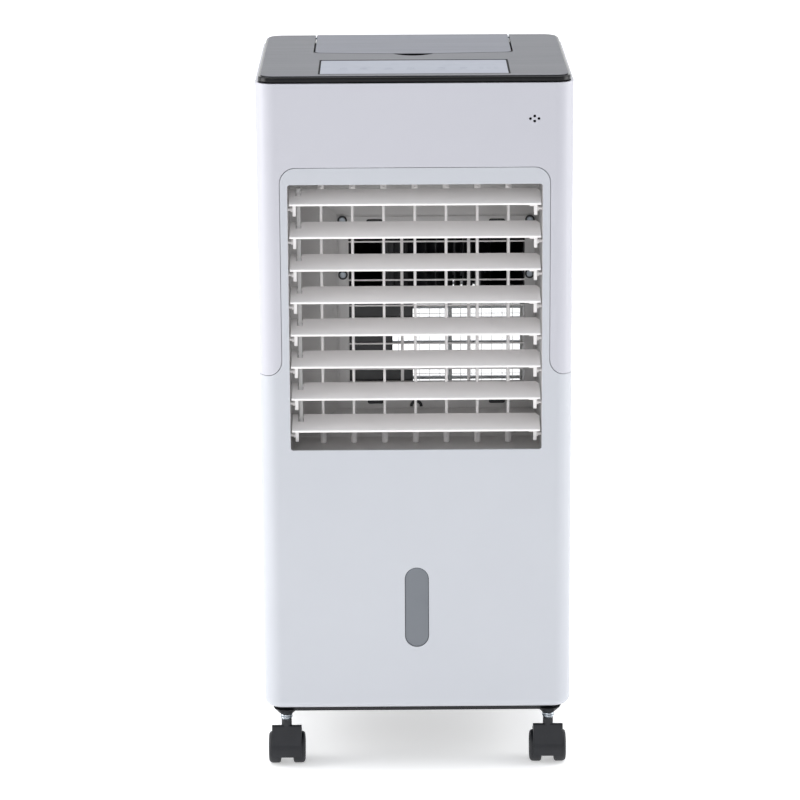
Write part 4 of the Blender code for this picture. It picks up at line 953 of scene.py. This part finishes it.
def makeDuct(v):
    louvreHoles = [
        newRod(v["bearing"], 260, (0, louvre["pivotY"], louvre["topZ"] - louvre["pitch"] * index), "X", 16)
        for index in range(louvre["count"])
    ]
    vaneHoles = [
        newRod(v["bearing"], 290, (vane["pitch"] * (index - 3), vane["pivotY"], 455), "Z", 16)
        for index in range(vane["count"])
    ]
    slots = [
        newPlate([(x - v["slotHalf"], z - v["slotRise"], 1.25), (x + v["slotHalf"], z - v["slotRise"], 1.25),
                  (x + v["slotHalf"], z + v["slotRise"], 1.25), (x - v["slotHalf"], z + v["slotRise"], 1.25)],
                 30, 50, upright, 5)
        for x, z in v["slots"]
    ]
    funnel = carve(funnelShape(v), gather(*louvreHoles), gather(*vaneHoles), gather(*slots))
    tidyMesh(funnel)
    softenEdges(funnel, v["edge"], 3, 20)
    makePiece("outletDuct", funnel, ductPolypropylene, "cooler", ("outlet_duct",), 24)

    # the plate that carries the guard, screwed on round the window
    left, right, low, high = v["panel"]
    inset = v["plateInset"]
    plate = newPlate(
        [(left + inset, low + inset, 3), (right - inset, low + inset, 3),
         (right - inset, high - inset, 3), (left + inset, high - inset, 3)],
        -v["rear"] - 0.1, -v["plateFront"], upright, 5,
    )
    left, right, low, high = v["window"]
    hole = newPlate([(left, low, 2), (right, low, 2), (right, high, 2), (left, high, 2)], 30, 50, upright, 5)
    plate = carve(plate, hole)
    tidyMesh(plate)
    softenEdges(plate, 0.35, 2, 50)
    makePiece("guardPlate", plate, ductPolypropylene, "cooler", ())

    clips = []
    for x, z in v["slots"]:
        clip = newPlate(
            [(x - 8, z - 2.2, 2.1), (x + 8, z - 2.2, 2.1), (x + 8, z + 2.2, 2.1), (x - 8, z + 2.2, 2.1)],
            -v["plateFront"] - 1, -v["plateFront"] + 0.9, upright, 6,
        )
        softenEdges(clip, 0.4, 2, 50)
        clips.append(clip)
    arch = carve(
        newRod(6.2, 2.4, (v["archX"], v["plateFront"] - 0.4, v["archZ"]), "Y", 32),
        newRod(3.4, 8, (v["archX"], v["plateFront"], v["archZ"]), "Y", 24),
        newBlock((v["archX"] - 10, -50, v["archZ"] - 12), (v["archX"] + 10, -30, v["archZ"] - 0.5)),
    )
    makePiece("guardClips", gather(*clips, arch), blowerAbs, "cooler", ())

    # painted shade: black rings round the screw heads darken the recesses the screws sit in
    recessShadeRings, heads = [], []
    for x, z in v["screws"]:
        y = v["plateFront"]
        recess = newRod(3.6, 6, (x, y - 3.1, z), "Y", 28)
        recessShadeRings.append(carve(newRod(4.7, 1.4, (x, y - 0.6, z), "Y", 28), recess))
        head = newRod(v["screwHead"], 1.6, (x, y - 0.7, z), "Y", 28)
        softenEdges(head, 0.6, 3, 50)
        heads.append(carve(
            head, newBlock((x - 2.2, y - 4, z - 0.5), (x + 2.2, y - 0.9, z + 0.5)),
            newBlock((x - 0.5, y - 4, z - 2.2), (x + 0.5, y - 0.9, z + 2.2)),
        ))
    makePiece("screwRecessShade", gather(*recessShadeRings), blowerAbs, "cooler", ())
    makePiece("ductScrews", gather(*heads), screwZinc, "cooler", ())


makeDuct(duct)


guard = {
    "rows": [511.3, 498.5, 485.7, 472.9, 460.1, 447.3, 434.5, 421.7, 408.9, 396.1, 383.3],
    "columns": [-12.5, 52.9], "rowHalf": 0.75, "columnHalf": 1.5, "frame": 3.0,
}


def makeGuard(v):
    low, high = boxCorners("finger_guard")
    bars = [
        newBlock(low, (high[0], high[1], low[2] + v["frame"])),
        newBlock((low[0], low[1], high[2] - v["frame"]), high),
        newBlock(low, (low[0] + v["frame"], high[1], high[2])),
        newBlock((high[0] - v["frame"], low[1], low[2]), high),
    ]
    for z in v["rows"]:
        bars.append(newBlock(
            (low[0], low[1] + 0.1, z - v["rowHalf"]), (high[0], high[1] - 0.1, z + v["rowHalf"])
        ))
    for x in v["columns"]:
        bars.append(newBlock((x - v["columnHalf"], low[1], low[2]), (x + v["columnHalf"], high[1], high[2])))
    for bar in bars:
        softenEdges(bar, 0.25, 2, 50)
    whole = gather(*bars)
    makePiece("fingerGuard", whole, louvreAbs, "cooler", ("finger_guard",))


makeGuard(guard)
print("duct and guard made")


blower = {
    "x": 21.5, "y": 28, "radius": 58, "blades": 36, "low": 452.5, "high": 519, "bladeRadius": 11,
    "bladeAngle": 70, "bladeThick": 0.9, "ring": 2.4,
}


def makeBlower(v):
    # one curved blade: an edge swept through part of a circle, given a thickness, then turned round the wheel
    bm = bmesh.new()
    verts = [bm.verts.new((0, 0, v["low"] * mm)), bm.verts.new((0, 0, v["high"] * mm))]
    edge = bm.edges.new(verts)
    bmesh.ops.spin(
        bm, geom=[*verts, edge], cent=(v["bladeRadius"] * mm, 0, 0), axis=(0, 0, 1),
        angle=math.radians(v["bladeAngle"]), steps=5,
    )
    bmesh.ops.recalc_face_normals(bm, faces=bm.faces[:])
    bm = withModifiers(bm, ("SOLIDIFY", {"thickness": v["bladeThick"] * mm, "offset": 0}))
    bmesh.ops.transform(bm, matrix=shift(v["radius"] - 11.5, 0, 0), verts=bm.verts[:])
    blades = [
        copyOf(bm, Matrix.Rotation(math.tau * index / v["blades"], 4, "Z")) for index in range(v["blades"])
    ]
    bm.free()
    inner, outer, ring = v["radius"] - 12, v["radius"], v["ring"]
    topZ, lowZ = v["high"], v["low"]
    rings = newSpun(
        [(inner, lowZ), (outer, lowZ), (outer, lowZ + ring), (inner, lowZ + ring), (inner, lowZ)], "Z"
    )
    hub = newSpun([
        (0, topZ + 17), (3, topZ + 16.8), (3, topZ + 0.2), (9, topZ), (outer, topZ), (outer, topZ - ring),
        (12, topZ - ring), (9, topZ - ring - 2), (9, topZ - 26), (0, topZ - 27),
    ], "Z")
    wheel = gather(*blades, rings, hub)
    bmesh.ops.transform(wheel, matrix=shift(v["x"], v["y"], 0), verts=wheel.verts[:])
    makePiece("blowerWheel", wheel, blowerAbs, "blower", ("blower_wheel",))
    for node, material, edge in (
        ("blower_scroll", blowerAbs, 0.6), ("motor_plate", sheetZinc, 0.3),
        ("blower_motor", sheetZinc, 1.5), ("swing_motor", sheetZinc, 0.4), ("air_baffle", baffleStyrene, 0.2),
        ("control_board", boardMask, 0.1),
    ):
        refine(node, material, edge)
    # the control box has a step in its right side
    boxShape = refinedCopy("control_box", 0)
    low, high = boxCorners("control_box")
    step = newBlock((high[0] - 20, low[1] - 5, low[2] + 20), (high[0] + 5, high[1] + 5, low[2] + 55))
    boxShape = carve(boxShape, step)
    softenEdges(boxShape, 1.2, 3, 50)
    makePiece("controlBox", boxShape, blowerAbs, "cooler", ("control_box",))


makeBlower(blower)
print("blower made")


rear = {"netPitch": 10.5, "strand": 0.6, "netY": 110.5, "net": 3.0}


def makeNet(v):
    low, high = boxCorners("cooling_pad")
    strands = []
    across = int((high[0] - low[0]) / v["netPitch"])
    up = int((high[2] - low[2]) / v["netPitch"])
    for index in range(1, across):
        x = low[0] + index * (high[0] - low[0]) / across
        middle = (x, v["netY"], (low[2] + high[2]) / 2)
        strands.append(newRod(v["strand"] / 2, high[2] - low[2] - 4, middle, "Z", 6))
    for index in range(1, up):
        z = low[2] + index * (high[2] - low[2]) / up
        middle = ((low[0] + high[0]) / 2, v["netY"] + v["strand"] * 0.8, z)
        strands.append(newRod(v["strand"] / 2, high[0] - low[0] - 4, middle, "X", 6))
    edge = v["net"]
    y0, y1 = v["netY"] - 1.5, v["netY"] + 2.5
    strands += [
        newBlock((low[0], y0, low[2]), (high[0], y1, low[2] + edge)),
        newBlock((low[0], y0, high[2] - edge), (high[0], y1, high[2])),
        newBlock((low[0], y0, low[2]), (low[0] + edge, y1, high[2])),
        newBlock((high[0] - edge, y0, low[2]), (high[0], y1, high[2])),
    ]
    makePiece("coolingPad", gather(*strands), netPolypropylene, "cooler", ("cooling_pad",))


makeNet(rear)
refine("pad_frame", louvreAbs, 0.6)
refine("rear_grille", casingAbs, 0.6, 2)
refine("grip_cup", trayPolypropylene, 0.6, 3)
refine("tank_latch", trayPolypropylene, 0.5, 3)
refine("cord_inlet", casterNylon, 0.4, 2)
refine("water_tank", tankPolypropylene, 0.8, 3)
refine("water_tray", tankPolypropylene, 0.5, 2)
refine("pump", trayPolypropylene, 1.0, 3)
refine("riser_hose", hoseVinyl, 0)
refine("base_tray", trayPolypropylene, 0.5, 2, 35)
print("rear, tank and tray made")


caster = {
    "places": {
        "front_left": (-129, -119.5), "front_right": (129, -119.5), "rear_left": (-129, 108),
        "rear_right": (129, 108),
    },
    "trail": 10, "axleZ": 15.8, "radius": 15.8, "inner": 6, "outer": 18,
    "hoodInner": 16.7, "hoodOuter": 18.6, "hoodHalf": 14.5, "hoodTop": 43.5, "hoodRear": 38,
    "neckTop": 49, "lowAngle": 196,
}


def hoodShape(v):
    # a curved band over the front and top of the wheels, swept about the axle, with a square top block
    bm = bmesh.new()
    half = v["hoodHalf"] * mm
    section = [
        (-half, v["hoodInner"]), (half, v["hoodInner"]), (half, v["hoodOuter"]), (-half, v["hoodOuter"])
    ]
    start = math.radians(v["lowAngle"])
    verts = [bm.verts.new((x, math.cos(start) * r * mm, math.sin(start) * r * mm)) for x, r in section]
    face = bm.faces.new(verts)
    grown = bmesh.ops.spin(
        bm, geom=[face], cent=(0, 0, 0), axis=(1, 0, 0), angle=math.radians(
            -141
        ), steps=28, use_normal_flip=False
    )
    bmesh.ops.recalc_face_normals(bm, faces=bm.faces[:])
    topZ = v["hoodTop"] - v["axleZ"]
    block = newPlate(
        [(-17.2, 7, 0), (2, 12, 0), (2, v["hoodRear"] - v["axleZ"], 1.2), (-14.5, topZ, 2.5)],
        -v["hoodHalf"], v["hoodHalf"], sideways, 7,
    )
    wheelRoom = newRod(v["hoodInner"], 60, (0, 0, 0), "X", 64)
    block = carve(block, wheelRoom)
    web = newPlate(
        [(-16.5, -4.5, 3), (-4, -6.5, 4), (6, -5, 5), (7.5, 11, 5), (-3, 17, 3), (-15, 12, 4)],
        -(v["inner"] - 0.6), v["inner"] - 0.6, sideways, 5
    )
    neckLow = v["hoodTop"] - 2
    neck = newRod(
        5.0, v["neckTop"] - neckLow, (0, -v["trail"], (v["neckTop"] + neckLow) / 2 - v["axleZ"]), "Z", 32
    )
    hood = weld(bm, block, web, neck)
    hood = carve(
        hood, newRod(3.4, 22, (0, -v["trail"], v["hoodRear"] + 10.4 - v["axleZ"]), "Z", 24),
        newRod(2.5, 40, (0, 0, 0), "X", 24),
    )
    tidyMesh(hood)
    softenEdges(hood, 0.5, 3, 42)
    return hood


def wheelsShape(v):
    # half of the profile, hub to tread, then the same again mirrored on the other side
    radius, inner, outer = v["radius"], v["inner"], v["outer"]
    side = [
        (2, 0), (2, inner), (12.5, inner), (radius - 1.2, inner + 0.4), (radius, inner + 1.8),
        (radius, outer - 3.4),
        (radius - 0.5, outer - 1.6), (radius - 1.6, outer - 0.5), (radius - 3.2, outer), (12, outer - 0.1),
        (11.4, outer - 1.1), (6.2, outer - 1.3), (5.6, outer - 0.6), (4.6, outer - 0.3), (0, outer - 0.3),
    ]
    profile = [(r, -x) for r, x in reversed(side[1:])] + side[1:]
    return newSpun(profile, "X", steps=56)


def stemShape():
    return newSpun([
        (0, 66), (3.6, 65.8), (4, 65.2), (4, 54.9), (4.6, 54.7), (5.8, 54.3), (6.1, 53.6), (5.8, 53),
        (4.5, 52.7),
        (4.4, 52.4), (5.8, 52.1), (6.1, 51.5), (5.8, 50.9), (4.5, 50.6), (4.4, 50.4), (5.2, 50.2),
        (5.4, 49.9),
        (5.1, 49.5), (3, 49.3), (3, 38.7), (0, 38.5),
    ], "Z", steps=40)


def makeCasters(v):
    hood, wheels, stem = hoodShape(v), wheelsShape(v), stemShape()
    for place, (x, y) in v["places"].items():
        words = "".join(word.capitalize() for word in place.split("_"))
        axle = shift(x, y + v["trail"], v["axleZ"])
        makePiece(
            f"casterHood{words}", copyOf(hood, axle), casterNylon, f"swivel_{place}",
            (f"caster_hood_{place}",), 36,
        )
        makePiece(
            f"casterWheels{words}", copyOf(wheels, axle), casterNylon, f"wheels_{place}",
            (f"caster_wheels_{place}",), 40,
        )
        makePiece(
            f"casterStem{words}", copyOf(stem, shift(x, y, 0)), stemZinc, "cooler",
            (f"caster_stem_{place}",), 40,
        )
    for shape in (hood, wheels, stem):
        shape.free()


makeCasters(caster)
print("casters made")
